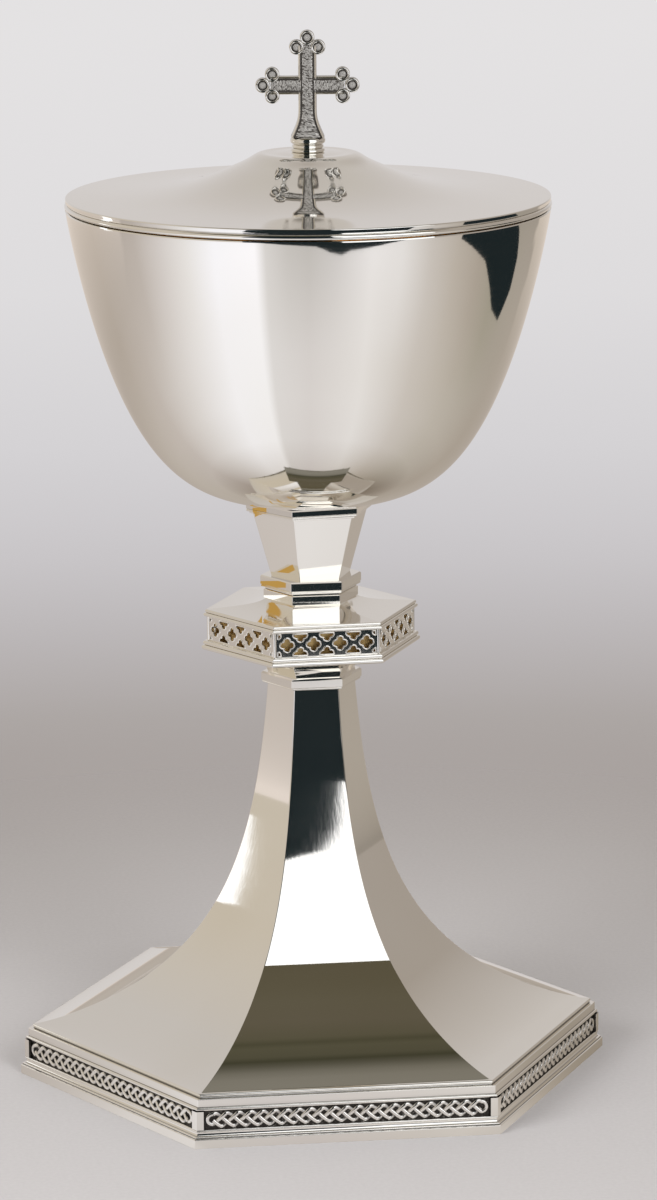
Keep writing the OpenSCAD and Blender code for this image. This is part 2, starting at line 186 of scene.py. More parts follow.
def loft(name, profile, ring, flat=1.0, smooth=32, darken_hollows=True):
    """Closed surface whose rings follow a closed profile. flat is FLAT for hexagonal rings. Its tarnish
    attribute, which paints dark tarnish and shade together, is 1 in sharp hollows."""
    profile, dark = grooves(profile) if darken_hollows else (profile, [0.0] * len(profile))
    count = len(profile)
    verts, index = [], []
    for r, z in profile:
        if r < 1e-9:
            index.append([len(verts)])
            verts.append((0, 0, z))
        else:
            outline = ring(r)
            index.append(list(range(len(verts), len(verts) + len(outline))))
            verts += [(x, y, z) for x, y, _, _ in outline]
    headings = [(before, after) for _, _, before, after in ring(max(r for r, _ in profile))]
    slopes = []
    for i in range(count):
        (r0, z0), (r1, z1) = profile[i], profile[(i + 1) % count]
        dr, dz = (r1 - r0) * flat, z1 - z0
        length = math.hypot(dr, dz) or 1e-12
        slopes.append((dz / length, -dr / length, length))

    def slope_at(i, seg):
        a, b = slopes[i - 1], slopes[i % count]
        if a[0] * b[0] + a[1] * b[1] < math.cos(math.radians(smooth)):
            return slopes[seg][:2]
        nr, nz = a[0] * a[2] + b[0] * b[2], a[1] * a[2] + b[1] * b[2]
        size = math.hypot(nr, nz) or 1
        return nr / size, nz / size

    faces, normals = [], []
    columns = len(headings)
    for i in range(count):
        j = (i + 1) % count
        near, far = index[i], index[j]
        if len(near) == len(far) == 1:
            continue
        s_near, s_far = slope_at(i, i), slope_at(j, i)
        for c in range(columns):
            d = (c + 1) % columns
            corners = [(near[c % len(near)], s_near, headings[c][1]),
                       (near[d % len(near)], s_near, headings[d][0]),
                       (far[d % len(far)], s_far, headings[d][0]),
                       (far[c % len(far)], s_far, headings[c][1])]
            if len(near) == 1:
                corners.pop(1)
            elif len(far) == 1:
                corners.pop(2)
            faces.append([v for v, _, _ in corners])
            normals += [(s[0] * math.cos(h), s[0] * math.sin(h), s[1]) for _, s, h in corners]
    obj = finish_mesh(name, verts, faces, normals)
    set_tarnish_and_shade(obj, [depth for ring_verts, depth in zip(index, dark) for _ in ring_verts])
    return obj


def sweep(verts, faces, path, ups, section, closed=False):
    """Adds a rod that follows path. section is a closed list of (sideways, upward) offsets,
    and ups gives the upward direction at each point of the path."""
    first = len(verts)
    n, m = len(path), len(section)
    for i, p in enumerate(path):
        a = path[(i - 1) % n] if closed or i > 0 else p
        b = path[(i + 1) % n] if closed or i < n - 1 else p
        along = (b - a).normalized()
        up = (ups[i] - ups[i].dot(along) * along).normalized()
        side = along.cross(up)
        verts += [tuple(p + side * s + up * u) for s, u in section]
    for i in range(n if closed else n - 1):
        j = (i + 1) % n
        for k in range(m):
            l = (k + 1) % m
            faces.append([first + i * m + k, first + j * m + k, first + j * m + l, first + i * m + l])
    if not closed:
        faces.append([first + k for k in range(m)])
        faces.append([first + (n - 1) * m + k for k in reversed(range(m))])


def rod_section(width, height, foot=0.0, steps=10):
    """Half-round section of the given width that rises to height and reaches down to -foot."""
    points = []
    for k in range(steps + 1):
        a = math.pi * k / steps
        points.append((width / 2 * math.cos(a), height * math.sin(a)))
    return [(width / 2, -foot)] + points + [(-width / 2, -foot)]


def tidy_normals(obj, angle=40):
    """Outward faces, smooth but for edges sharper than angle."""
    bm = bmesh.new()
    bm.from_mesh(obj.data)
    bmesh.ops.recalc_face_normals(bm, faces=bm.faces)
    bm.to_mesh(obj.data)
    bm.free()
    obj.data.shade_smooth()
    obj.data.set_sharp_from_angle(angle=math.radians(angle))
    return obj


def filled_plate(outline, holes, thickness, bevel):
    """Verts and faces of a flat plate with holes, centred on z = 0, from lists of (x, y)."""
    curve = bpy.data.curves.new("plate", "CURVE")
    curve.dimensions = "2D"
    curve.fill_mode = "BOTH"
    curve.extrude = thickness / 2 - bevel
    curve.bevel_depth = bevel
    curve.bevel_resolution = 1
    curve.offset = -bevel
    for loop in [outline] + holes:
        spline = curve.splines.new("POLY")
        spline.points.add(len(loop) - 1)
        for point, (x, y) in zip(spline.points, loop):
            point.co = (x, y, 0, 1)
        spline.use_cyclic_u = True
    obj = new_object("plate", curve)
    bpy.context.view_layer.update()
    mesh = bpy.data.meshes.new_from_object(obj.evaluated_get(bpy.context.evaluated_depsgraph_get()))
    verts = [tuple(v.co) for v in mesh.vertices]
    faces = [list(p.vertices) for p in mesh.polygons]
    bpy.data.objects.remove(obj)
    bpy.data.curves.remove(curve)
    bpy.data.meshes.remove(mesh)
    return verts, faces


# Materials

def link(tree, a, b):
    tree.links.new(a, b)


def new_metal(name, colour, roughness):
    mat = bpy.data.materials.new(name)
    mat.use_nodes = True
    tree = mat.node_tree
    shader = tree.nodes["Principled BSDF"]
    shader.inputs["Base Color"].default_value = (*colour, 1)
    shader.inputs["Metallic"].default_value = 1
    shader.inputs["Roughness"].default_value = roughness
    return mat, tree, shader


def noise(tree, vector, scale, detail=3.0, rough=0.5):
    node = tree.nodes.new("ShaderNodeTexNoise")
    node.inputs["Scale"].default_value = scale
    node.inputs["Detail"].default_value = detail
    node.inputs["Roughness"].default_value = rough
    link(tree, vector, node.inputs["Vector"])
    return node.outputs["Fac"]


def stretched(tree, scale):
    """Object coordinates scaled by a vector."""
    coords = tree.nodes.new("ShaderNodeTexCoord")
    mapping = tree.nodes.new("ShaderNodeMapping")
    mapping.inputs["Scale"].default_value = scale
    link(tree, coords.outputs["Object"], mapping.inputs["Vector"])
    return mapping.outputs["Vector"]


def turned_vector(tree, along, across):
    """Coordinates that run fast along the radius and the axis and slowly round the axis."""
    coords = tree.nodes.new("ShaderNodeTexCoord")
    split = tree.nodes.new("ShaderNodeSeparateXYZ")
    link(tree, coords.outputs["Object"], split.inputs[0])
    radius = tree.nodes.new("ShaderNodeVectorMath")
    radius.operation = "LENGTH"
    flat = tree.nodes.new("ShaderNodeCombineXYZ")
    link(tree, split.outputs["X"], flat.inputs["X"])
    link(tree, split.outputs["Y"], flat.inputs["Y"])
    link(tree, flat.outputs[0], radius.inputs[0])
    angle = tree.nodes.new("ShaderNodeMath")
    angle.operation = "ARCTAN2"
    link(tree, split.outputs["Y"], angle.inputs[0])
    link(tree, split.outputs["X"], angle.inputs[1])
    out = tree.nodes.new("ShaderNodeCombineXYZ")
    for source, socket, factor in ((radius.outputs["Value"], "X", across),
                                   (angle.outputs[0], "Y", along),
                                   (split.outputs["Z"], "Z", across)):
        scaled = tree.nodes.new("ShaderNodeMath")
        scaled.operation = "MULTIPLY"
        scaled.inputs[1].default_value = factor
        link(tree, source, scaled.inputs[0])
        link(tree, scaled.outputs[0], out.inputs[socket])
    return out.outputs[0]


def remap(tree, value, to_low, to_high, from_low=0.3, from_high=0.7):
    node = tree.nodes.new("ShaderNodeMapRange")
    for name, number in (("From Min", from_low), ("From Max", from_high),
                         ("To Min", to_low), ("To Max", to_high)):
        node.inputs[name].default_value = number
    link(tree, value, node.inputs["Value"])
    return node.outputs["Result"]


def blend(tree, factor, a, b):
    """Mixes two colours, each plain or from a socket."""
    node = tree.nodes.new("ShaderNodeMix")
    node.data_type = "RGBA"
    link(tree, factor, node.inputs["Factor"])
    for name, colour in (("A", a), ("B", b)):
        if isinstance(colour, tuple):
            node.inputs[name].default_value = (*colour, 1)
        else:
            link(tree, colour, node.inputs[name])
    return node.outputs["Result"]


def attribute(tree, name, output="Fac"):
    node = tree.nodes.new("ShaderNodeAttribute")
    node.attribute_name = name
    return node.outputs[output]


def add(tree, a, b, operation="ADD"):
    node = tree.nodes.new("ShaderNodeMath")
    node.operation = operation
    link(tree, a, node.inputs[0])
    if isinstance(b, float):
        node.inputs[1].default_value = b
    else:
        link(tree, b, node.inputs[1])
    return node.outputs[0]


def bumps(tree, shader, layers):
    """Chains bump nodes: layers is a list of (height value, distance in metres)."""
    normal = None
    for height, distance in layers:
        node = tree.nodes.new("ShaderNodeBump")
        node.inputs["Strength"].default_value = 1
        node.inputs["Distance"].default_value = distance
        link(tree, height, node.inputs["Height"])
        if normal:
            link(tree, normal, node.inputs["Normal"])
        normal = node.outputs["Normal"]
    link(tree, normal, shader.inputs["Normal"])


BLACKENED_AND_SHADED = (0.055, 0.05, 0.045)          # silver sulphide in the hollows, and the shade painted there


def silver(name, roughness, wave, brushing, grain=0.0):
    """Polished silver: slow waves from raising by hand, fine brushing, faint smears and a trace of warm
    tarnish. Sharp hollows are blackened, as tarnish and as painted shade. brushing is the tree's vector for
    the brush lines."""
    mat, tree, shader = new_metal(name, (0.955, 0.94, 0.905), roughness)
    plain = stretched(tree, (1, 1, 1))
    lines = noise(tree, brushing(tree), 1.0, 4)
    smears = noise(tree, plain, 55, 3)
    tarnish = noise(tree, plain, 18, 2)
    tint = blend(tree, remap(tree, tarnish, 0, 1, 0.42, 0.75),
                         (0.965, 0.95, 0.915), (0.93, 0.905, 0.85))
    # Painted shade: the tarnish attribute blackens the sharp hollows, part tarnish and part the shade that
    # falls in them.
    hollow = remap(tree, attribute(tree, "tarnish"), 0, 0.95, 0.1, 0.8)
    tarnished_and_shaded = blend(tree, hollow, tint, BLACKENED_AND_SHADED)
    link(tree, tarnished_and_shaded, shader.inputs["Base Color"])
    rough = add(tree, remap(tree, smears, 0.7 * roughness, 1.4 * roughness),
                remap(tree, lines, 0, 0.5 * roughness))
    link(tree, rough, shader.inputs["Roughness"])
    layers = [(noise(tree, plain, 32, 1), wave), (lines, 0.9e-6)]
    if grain:
        layers.append((noise(tree, plain, 900, 2), grain))
    bumps(tree, shader, layers)
    return mat


def upright_brushing(tree):
    return stretched(tree, (1500, 1500, 14))


def round_brushing(tree):
    return turned_vector(tree, 3.0, 2200)


def gilt(name, roughness, dark):
    """Gilding, thinner and browner where it is worn."""
    mat, tree, shader = new_metal(name, (0.95, 0.7, 0.34), roughness)
    plain = stretched(tree, (1, 1, 1))
    wear = noise(tree, plain, 160, 4)
    tint = blend(tree, remap(tree, wear, 0, 1), (0.98, 0.74, 0.36), dark)
    link(tree, tint, shader.inputs["Base Color"])
    link(tree, remap(tree, wear, 0.8 * roughness, 1.6 * roughness), shader.inputs["Roughness"])
    bumps(tree, shader, [(noise(tree, plain, 700, 3), 4e-6)])
    return mat


def turned_brass(name):
    mat, tree, shader = new_metal(name, (0.8, 0.62, 0.32), 0.25)
    lines = noise(tree, turned_vector(tree, 1.0, 4000), 1.0, 3)
    patina = noise(tree, stretched(tree, (1, 1, 1)), 220, 4)
    tint = blend(tree, remap(tree, patina, 0, 1), (0.84, 0.66, 0.35), (0.5, 0.36, 0.17))
    link(tree, tint, shader.inputs["Base Color"])
    link(tree, remap(tree, patina, 0.2, 0.42), shader.inputs["Roughness"])
    bumps(tree, shader, [(lines, 6e-6)])
    return mat


def relief_silver(name):
    """Bright silver that is blackened where the mesh's tarnish attribute nears 1."""
    mat, tree, shader = new_metal(name, (0.95, 0.93, 0.9), 0.1)
    depth = attribute(tree, "tarnish")
    plain = stretched(tree, (1, 1, 1))
    speckle = noise(tree, plain, 1400, 3)
    sunk = add(tree, depth, remap(tree, speckle, -0.25, 0.25))
    factor = remap(tree, sunk, 0, 1, 0.1, 0.9)
    tint = blend(tree, factor, (0.95, 0.935, 0.905), (0.06, 0.055, 0.05))
    link(tree, tint, shader.inputs["Base Color"])
    link(tree, remap(tree, sunk, 0.09, 0.5, 0, 1), shader.inputs["Roughness"])
    bumps(tree, shader, [(speckle, 5e-6)])
    return mat


def cast_silver(name):
    """Silver of the cross: cast and hand polished, with a stippled, darkened ground."""
    mat, tree, shader = new_metal(name, (0.94, 0.92, 0.89), 0.1)
    depth = attribute(tree, "tarnish")
    plain = stretched(tree, (1, 1, 1))
    stipple = noise(tree, plain, 2600, 2)
    soft = noise(tree, plain, 240, 2)
    tint = blend(tree, remap(tree, depth, 0, 1, 0.06, 0.56),
                         (0.95, 0.935, 0.905), BLACKENED_AND_SHADED)
    link(tree, tint, shader.inputs["Base Color"])
    link(tree, remap(tree, depth, 1, 0.45, 0.1, 0.4), shader.inputs["Metallic"])
    rough = add(tree, remap(tree, depth, 0.07, 0.45, 0, 0.5),
                remap(tree, soft, 0, 0.06))
    link(tree, rough, shader.inputs["Roughness"])
    bumps(tree, shader, [(soft, 1.2e-5), (add(tree, stipple, depth, "MULTIPLY"), 3e-5)])
    return mat


METALS = {
    "foot": silver("foot_silver", 0.03, 2e-6, upright_brushing),
    "polished_silver": silver("polished_silver", 0.04, 0.4e-5, upright_brushing),
    "satin_silver": silver("satin_silver", 0.035, 0.5e-5, round_brushing, 0.5e-6),
    "oxidised_plaitwork": relief_silver("oxidised_plaitwork"),
    "cross": cast_silver("cross_silver"),
    "gilding": gilt("gilding", 0.12, (0.85, 0.6, 0.28)),
    "lining": gilt("dull_gilding", 0.42, (0.5, 0.32, 0.12)),
    "brass_fixings": turned_brass("brass_fixings"),
}


def stand_in(obj, node, slot, metal=None):
    """obj stands for a CAD node, rides on its body and takes the slot's metal."""
    if not obj.data.materials:
        obj.data.materials.append(METALS[metal or slot])
    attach(obj, COVER if node in frame["record"]["behaviour"]["bodies"][COVER] else VESSEL)
    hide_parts(node)
    return obj


def hexagonal(node, profile, fillet, turn=0.0, slot="polished_silver", metal=None, steps=3):
    """Stands a lofted hexagonal ring in for a node."""
    return stand_in(loft(node + "_fine", profile, ring_hex(fillet, turn, steps), FLAT), node, slot, metal)


def turned(node, profile, slot, columns=ROUND_COLUMNS):
    """Stands a lofted round part in for a node."""
    return stand_in(loft(node + "_fine", profile, lambda r: ring_round(r, columns)), node, slot)


# The foot, from the table up

EDGE = 0.12 * MM                          # softness of the edges of mouldings
ARRIS = 0.3 * MM                          # rounding of the mouldings' corners
WALL_IN = 9 * MM                          # from the plinth's corners in to the hollow


def make_plinth():
    r, z0, z1 = span("plinth")
    step = 0.5 * MM
    profile = [(r - WALL_IN, z0), (r, z0), (r, z1 - step), (r - step, z1 - step * 0.7),
               (r - step, z1), (r - WALL_IN, z1)]
    hexagonal("plinth", soften(profile, 0.22 * MM), ARRIS)


def make_lower_moulding():
    r, z0, z1 = span("lower_moulding")
    inner = reach("plinth") - WALL_IN
    cove_h, cove_d = 0.9 * MM, 0.55 * MM
    angles = [math.pi / 2 * i / 8 for i in range(9)]
    cove = [(r - cove_d * math.sin(a), z0 + cove_h * (1 - math.cos(a))) for a in angles]
    bead = half_round(r - cove_d, z0 + cove_h, z1 - z0 - cove_h)
    profile = [(inner, z0)] + cove + bead + [(inner, z1)]
    hexagonal("lower_moulding", profile, ARRIS)


POST = 1.8 * MM                           # flat post at each end of a frieze panel
RECESS = 0.9 * MM


def ring_notched(fillet, cut_from):
    """Hexagon whose sides are recessed between their posts where r is over cut_from."""
    plain = ring_hex(fillet)

    def ring(r):
        base = plain(r)
        per_corner = len(base) // SIDES
        depth = RECESS if r > cut_from else 0.0
        half_w = (reach("frieze_wall") - 2 * POST) / 2
        points = []
        for k in range(SIDES):
            points += base[k * per_corner:(k + 1) * per_corner]
            side = math.radians(60 * k + 30)
            out, across = Vector((math.cos(side), math.sin(side))), Vector((-math.sin(side), math.cos(side)))
            start, end = side + math.pi / 2, side - math.pi / 2
            for t, d, before, after in ((-half_w, 0, side, start), (-half_w, depth, start, side),
                                        (half_w, depth, side, end), (half_w, 0, end, side)):
                p = out * (r * FLAT - d) + across * t
                points.append((p.x, p.y, before, after))
        return points
    return ring


def make_frieze_wall():
    r, z0, z1 = span("frieze_wall")
    inner = reach("plinth") - WALL_IN
    profile = [(inner, z0), (r, z0), (r, z1), (inner, z1)]
    obj = loft("frieze_wall_fine", profile, ring_notched(ARRIS, inner + MM), FLAT)
    tidy = bmesh.new()
    tidy.from_mesh(obj.data)
    empty = [f for f in tidy.faces if f.calc_area() < 1e-12]
    bmesh.ops.delete(tidy, geom=empty, context="FACES_ONLY")
    bmesh.ops.remove_doubles(tidy, verts=tidy.verts, dist=1e-7)
    tidy.to_mesh(obj.data)
    tidy.free()
    custom = obj.data.attributes.get("custom_normal")
    if custom:
        obj.data.attributes.remove(custom)
    tidy_normals(obj, 12)
    stand_in(obj, "frieze_wall", "polished_silver")


CHEVRONS = 24
STRAND_W = 1.12 * MM


def plait_paths(width, amplitude, weave):
    """Middle lines of the plait's three strands, and the loop that closes each end."""
    period = 3 * width / CHEVRONS
    length = width - 2 * (amplitude + 0.7 * MM)
    steps = 12 * round(length / period * 2)
    paths = []
    for k in range(3):
        path = []
        for i in range(steps + 1):
            x = -length / 2 + length * i / steps
            a = 2 * math.pi * (x / period + k / 3) + math.pi / 2
            zigzag = math.asin(0.94 * math.sin(a)) / math.asin(0.94)
            path.append(Vector((x, amplitude * zigzag, weave * math.sin(2 * a))))
        paths.append(path)
    for end in (-1, 1):
        tips = sorted((path[0 if end < 0 else -1] for path in paths), key=lambda p: p.y)
        bottom, top = tips[0], tips[2]
        middle, half = (bottom.y + top.y) / 2, (top.y - bottom.y) / 2
        paths.append([Vector((end * length / 2 + end * 1.1 * half * math.cos(a),
                              middle + half * math.sin(a), 0))
                      for a in (math.pi * (i / 16 - 0.5) for i in range(17))])
    return paths


def make_plait_panel(index):
    node = f"plait_panel_{index}"
    front_lo, front_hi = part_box("plait_panel_1")
    width, z0, z1 = front_hi.x - front_lo.x, front_lo.z, front_hi.z
    floor_y = reach("frieze_wall") * FLAT - RECESS
    rise = -front_lo.y - floor_y
    plate = 0.12 * MM
    amplitude = (z1 - z0) / 2 - STRAND_W / 2 - 0.12 * MM
    verts, faces = [], []
    for z in (0, plate):
        verts += [(x * width / 2, y * (z1 - z0) / 2, z) for x, y in ((-1, -1), (1, -1), (1, 1), (-1, 1))]
    faces += [[3, 2, 1, 0], [4, 5, 6, 7]]
    faces += [[k, (k + 1) % 4, 4 + (k + 1) % 4, 4 + k] for k in range(4)]
    ground = len(verts)
    weave = 0.17 * MM
    height = rise - plate - weave - 0.03 * MM
    section = rod_section(STRAND_W, height, foot=weave)
    up = Vector((0, 0, 1))
    for path in plait_paths(width, amplitude, weave):
        lifted = [p + up * plate for p in path]
        sweep(verts, faces, lifted, [up] * len(lifted), section)
    bars = len(verts)
    bar = rod_section(0.3 * MM, rise - plate - 0.04 * MM)
    for x in (-1, 1):
        ends = [Vector((x * (width / 2 - 0.16 * MM), y * (z1 - z0) / 2, plate)) for y in (-1, 1)]
        sweep(verts, faces, ends, [up] * 2, bar)
    obj = finish_mesh(node + "_fine", verts, faces)
    tidy_normals(obj, 50)
    # The ground and the end bars are blackened as oxidised silver; the strands are painted darker the deeper
    # they lie, as oxide and as the shade between them.
    top = plate + weave + height
    shares = [(top - v.co.z) / (top - plate) for v in obj.data.vertices]
    set_tarnish_and_shade(obj, [1.0 if i < ground or i >= bars else min(1.0, max(0.0, 1.6 * share - 0.45))
                      for i, share in enumerate(shares)])
    turn = Matrix.Rotation(math.radians(60 * (index - 1)), 4, "Z")
    place = Matrix.Translation((0, -floor_y, (z0 + z1) / 2)) @ Matrix.Rotation(math.pi / 2, 4, "X")
    obj.data.transform(turn @ place)
    stand_in(obj, node, "oxidised_plaitwork")


def make_upper_moulding():
    z0, z1 = low("upper_moulding"), high("upper_moulding")
    wall_r, edge_r = reach("frieze_wall"), reach("foot")
    inner = reach("plinth") - WALL_IN
    bead_h, roll_h, quirk_h = 0.85 * MM, 0.8 * MM, 0.25 * MM
    fascia_r = wall_r - MM
    quirk_z = z1 - roll_h - quirk_h
    bead = half_round(wall_r - 0.75 * MM, z0, bead_h)
    roll = half_round(edge_r, quirk_z + quirk_h, roll_h)
    profile = ([(inner, z0)] + bead + [(fascia_r, z0 + bead_h), (fascia_r, quirk_z),
               (edge_r + 0.2 * MM, quirk_z)] + roll + [(inner, z1)])
    hexagonal("upper_moulding", soften(profile, EDGE, 60), ARRIS)


STEM_R = 8.4 * MM                         # corner radius that the foot tends to
FLARE_H = 21.2 * MM                       # height in which its flare falls to a third
FLARE_POWER = 0.81
SHEET = 1.2 * MM


def foot_radius(h):
    return STEM_R + (reach("foot") - STEM_R) * math.exp(-(max(h, 0) / FLARE_H) ** FLARE_POWER)


def make_foot():
    z0, height = low("foot"), high("foot") - low("foot")
    rings = 120
    heights = [height * (i / rings) ** 1.5 for i in range(rings + 1)]
    outer = [(foot_radius(h), z0 + h) for h in heights]
    inner = [(foot_radius(h + SHEET) - SHEET, z0 + h) for h in reversed(heights)]
    hexagonal("foot", outer + inner, 0.42 * MM, steps=4, slot="polished_silver", metal="foot")


# Stem, knop and neck

ROD_HOLE = 3.2 * MM


def make_stem_collar():
    r, z0, z1 = span("stem_collar")
    bead_h = 0.55 * MM
    profile = ([(ROD_HOLE, z0)] + half_round(r - 0.55 * MM, z0, bead_h, 6)
               + [(r - 0.45 * MM, z0 + bead_h), (r, z0 + bead_h + 0.12 * MM), (r, z1 - 0.45 * MM),
                  (r - 0.45 * MM, z1), (ROD_HOLE, z1)])
    hexagonal("stem_collar", soften(profile, 0.08 * MM, 60), 0.18 * MM)


KNOP_CORE = 10.6 * MM


def knop_radius(edge, h, fall):
    return KNOP_CORE + (edge - KNOP_CORE) * math.exp(-h / fall)


def make_knop_base():
    z0, z1 = low("knop_base"), high("knop_base")
    edge = reach("knop_base", KNOP_TURN)
    rings = 40
    depths = [(z1 - z0) * (i / rings) ** 1.5 for i in range(rings + 1)]
    under = [(knop_radius(edge, d, 1.9 * MM), z1 - d) for d in reversed(depths)]
    profile = [(ROD_HOLE, z0)] + under + [(ROD_HOLE, z1)]
    hexagonal("knop_base", profile, 0.2 * MM, KNOP_TURN)


def make_knop_plate(node):
    r, z0, z1 = span(node, KNOP_TURN)
    h = (z1 - z0) / 2
    upper = half_round(r - h / 2 - 0.4 * MM, z0 + h, h)
    profile = [(ROD_HOLE, z0)] + half_round(r - h / 2, z0, h) + upper + [(ROD_HOLE, z1)]
    hexagonal(node, profile, 0.25 * MM, KNOP_TURN)


FOIL_REACH = 0.95 * MM
LOBE = 0.85 * MM
ROW_PITCH = 2.45 * MM
FOILS = 4
BAND_MARGIN = 0.35 * MM


def foil_outline(steps=40):
    """Quatrefoil: the outer edge of four round lobes."""
    points = []
    for i in range(steps):
        a = 2 * math.pi * i / steps
        off = (a + math.pi / 4) % (math.pi / 2) - math.pi / 4
        across = FOIL_REACH * math.sin(off)
        d = FOIL_REACH * math.cos(off) + math.sqrt(LOBE ** 2 - across ** 2)
        points.append((d * math.cos(a), d * math.sin(a)))
    return points


def clipped(points, axis, limit, sign):
    """The part of a closed outline where sign * coordinate is at most sign * limit."""
    out = []
    for i, p in enumerate(points):
        q = points[(i + 1) % len(points)]
        p_in, q_in = sign * p[axis] <= sign * limit, sign * q[axis] <= sign * limit
        if p_in:
            out.append(p)
        if p_in != q_in:
            t = (limit - p[axis]) / (q[axis] - p[axis])
            out.append(tuple(a + t * (b - a) for a, b in zip(p, q)))
    return out


def band_holes(width, height):
    """Outlines of the piercings of one face: a whole row between two rows that are cut off."""
    pitch = width / FOILS
    centres = [((i - (FOILS - 1) / 2) * pitch, 0) for i in range(FOILS)]
    centres += [((i - FOILS / 2) * pitch, s * ROW_PITCH) for s in (-1, 1) for i in range(FOILS + 1)]
    half_w, half_h = width / 2 - MM, height / 2 - BAND_MARGIN
    holes = []
    for x, y in centres:
        hole = [(x + u, y + v) for u, v in foil_outline()]
        for axis, limit in ((0, half_w), (1, half_h)):
            hole = clipped(clipped(hole, axis, limit, 1), axis, -limit, -1)
        if len(hole) > 4:
            holes.append(hole)
    return holes


def make_knop_band():
    r, z0, z1 = span("knop_band", KNOP_TURN)
    height, rim_w, rim_h = z1 - z0, 0.4 * MM, 0.16 * MM
    wall, post_r = 0.8 * MM, 0.45 * MM
    skin = r - rim_h / FLAT
    holes = band_holes(r, height)
    half_h = height / 2
    side = skin / 2
    outline = [(-side, -half_h), (side, -half_h), (side, half_h), (-side, half_h)]
    plate_verts, faces = filled_plate(outline, holes, wall, 0.06 * MM)
    verts = [(x, y, z - wall / 2) for x, y, z in plate_verts]
    section = rod_section(rim_w, rim_h, foot=0.05 * MM, steps=8)
    up = Vector((0, 0, 1))
    for hole in holes:
        path = [Vector((x, y, 0)) for x, y in hole]
        sweep(verts, faces, path, [up] * len(path), section, closed=True)
    bm = bmesh.new()
    for k in range(SIDES):
        turn = Matrix.Rotation(KNOP_TURN + math.radians(60 * k), 4, "Z")
        place = Matrix.Translation((0, -skin * FLAT, z0 + half_h)) @ Matrix.Rotation(math.pi / 2, 4, "X")
        own = [bm.verts.new(turn @ place @ Vector(v)) for v in verts]
        for face in faces:
            try:
                bm.faces.new([own[i] for i in face])
            except ValueError:
                pass
        bmesh.ops.create_cone(bm, segments=16, radius1=post_r, radius2=post_r, depth=height, cap_ends=True,
                              matrix=turn @ Matrix.Translation((r - 0.55 * MM, 0, z0 + half_h)))
    mesh = bpy.data.meshes.new("knop_band_fine")
    bm.to_mesh(mesh)
    bm.free()
    obj = new_object("knop_band_fine", mesh)
    tidy_normals(obj, 35)
    stand_in(obj, "knop_band", "polished_silver")


def make_knop_lining():
    r, z0, z1 = span("knop_lining", KNOP_TURN)
    profile = [(r - 0.8 * MM, z0), (r, z0), (r, z1), (r - 0.8 * MM, z1)]
    hexagonal("knop_lining", profile, 0.3 * MM, KNOP_TURN, slot="gilding", metal="lining")


def make_knop_cap():
    z0, z1 = low("knop_cap"), high("knop_cap")
    edge = reach("knop_cap", KNOP_TURN)
    rings = 40
    heights = [(z1 - z0) * (i / rings) ** 1.6 for i in range(rings + 1)]
    top = [(knop_radius(edge, h, 0.8 * MM), z0 + h) for h in heights]
    hexagonal("knop_cap", [(ROD_HOLE, z0)] + top + [(ROD_HOLE, z1)], 0.2 * MM, KNOP_TURN)


def make_knop_collar():
    r, z0, z1 = span("knop_collar")
    step_r = r - 0.8 * MM
    groove_z = z0 + 2.4 * MM
    tier_z = groove_z + 0.5 * MM
    profile = [(ROD_HOLE, z0), (step_r, z0), (step_r, groove_z - 0.2 * MM),
               (step_r - 0.4 * MM, groove_z), (step_r - 0.4 * MM, tier_z - 0.1 * MM)]
    profile += half_round(r - 0.45 * MM, tier_z, 0.6 * MM, 6)
    profile += [(r, tier_z + 0.7 * MM), (r, z1 - 0.3 * MM), (r - 0.3 * MM, z1), (ROD_HOLE, z1)]
    hexagonal("knop_collar", soften(profile, 0.1 * MM, 50), 0.2 * MM)


def make_neck():
    z0, z1 = low("neck"), high("neck")
    top_r, bottom_r = reach("neck", NECK_TURN), 10.2 * MM
    profile = [(bottom_r - SHEET, z0), (bottom_r, z0), (top_r, z1), (top_r - SHEET, z1)]
    hexagonal("neck", profile, 0.28 * MM, NECK_TURN)


def make_bowl_collar():
    r, z0, z1 = span("bowl_collar", NECK_TURN)
    hole = 9 * MM
    profile = [(hole, z0), (r - 0.9 * MM, z0), (r - 0.8 * MM, z0 + 0.45 * MM)]
    profile += half_round(r - 0.35 * MM, z0 + 0.5 * MM, 0.6 * MM, 6)
    profile += [(r, z0 + 1.2 * MM), (r, z1 - 0.3 * MM), (r - 0.3 * MM, z1), (hole, z1)]
    hexagonal("bowl_collar", soften(profile, 0.1 * MM, 50), 0.2 * MM, NECK_TURN)


# Bowl

BOWL_T = 1.2 * MM
BOWL_POWER = 3.8
BOWL_TOP_POWER = 1.1


def bowl_curve(inset, rings=96):
    """Half outline of the bowl's wall, taken in by inset, from the rim down to the axis."""
    r, z0, z1 = span("bowl")
    points = []
    for i in range(rings + 1):
        s = math.cos(math.pi / 2 * i / rings)
        depth = (1 - s ** BOWL_POWER) ** (1 / BOWL_TOP_POWER)
        points.append((0 if i == rings else s * (r - inset), z1 - depth * (z1 - z0 - inset)))
    return points


def gild_inside(obj, faces):
    """Satin silver, but gilt on the given faces."""
    obj.data.materials.append(METALS["satin_silver"])
    obj.data.materials.append(METALS["gilding"])
    for i in faces:
        obj.data.polygons[i].material_index = 1


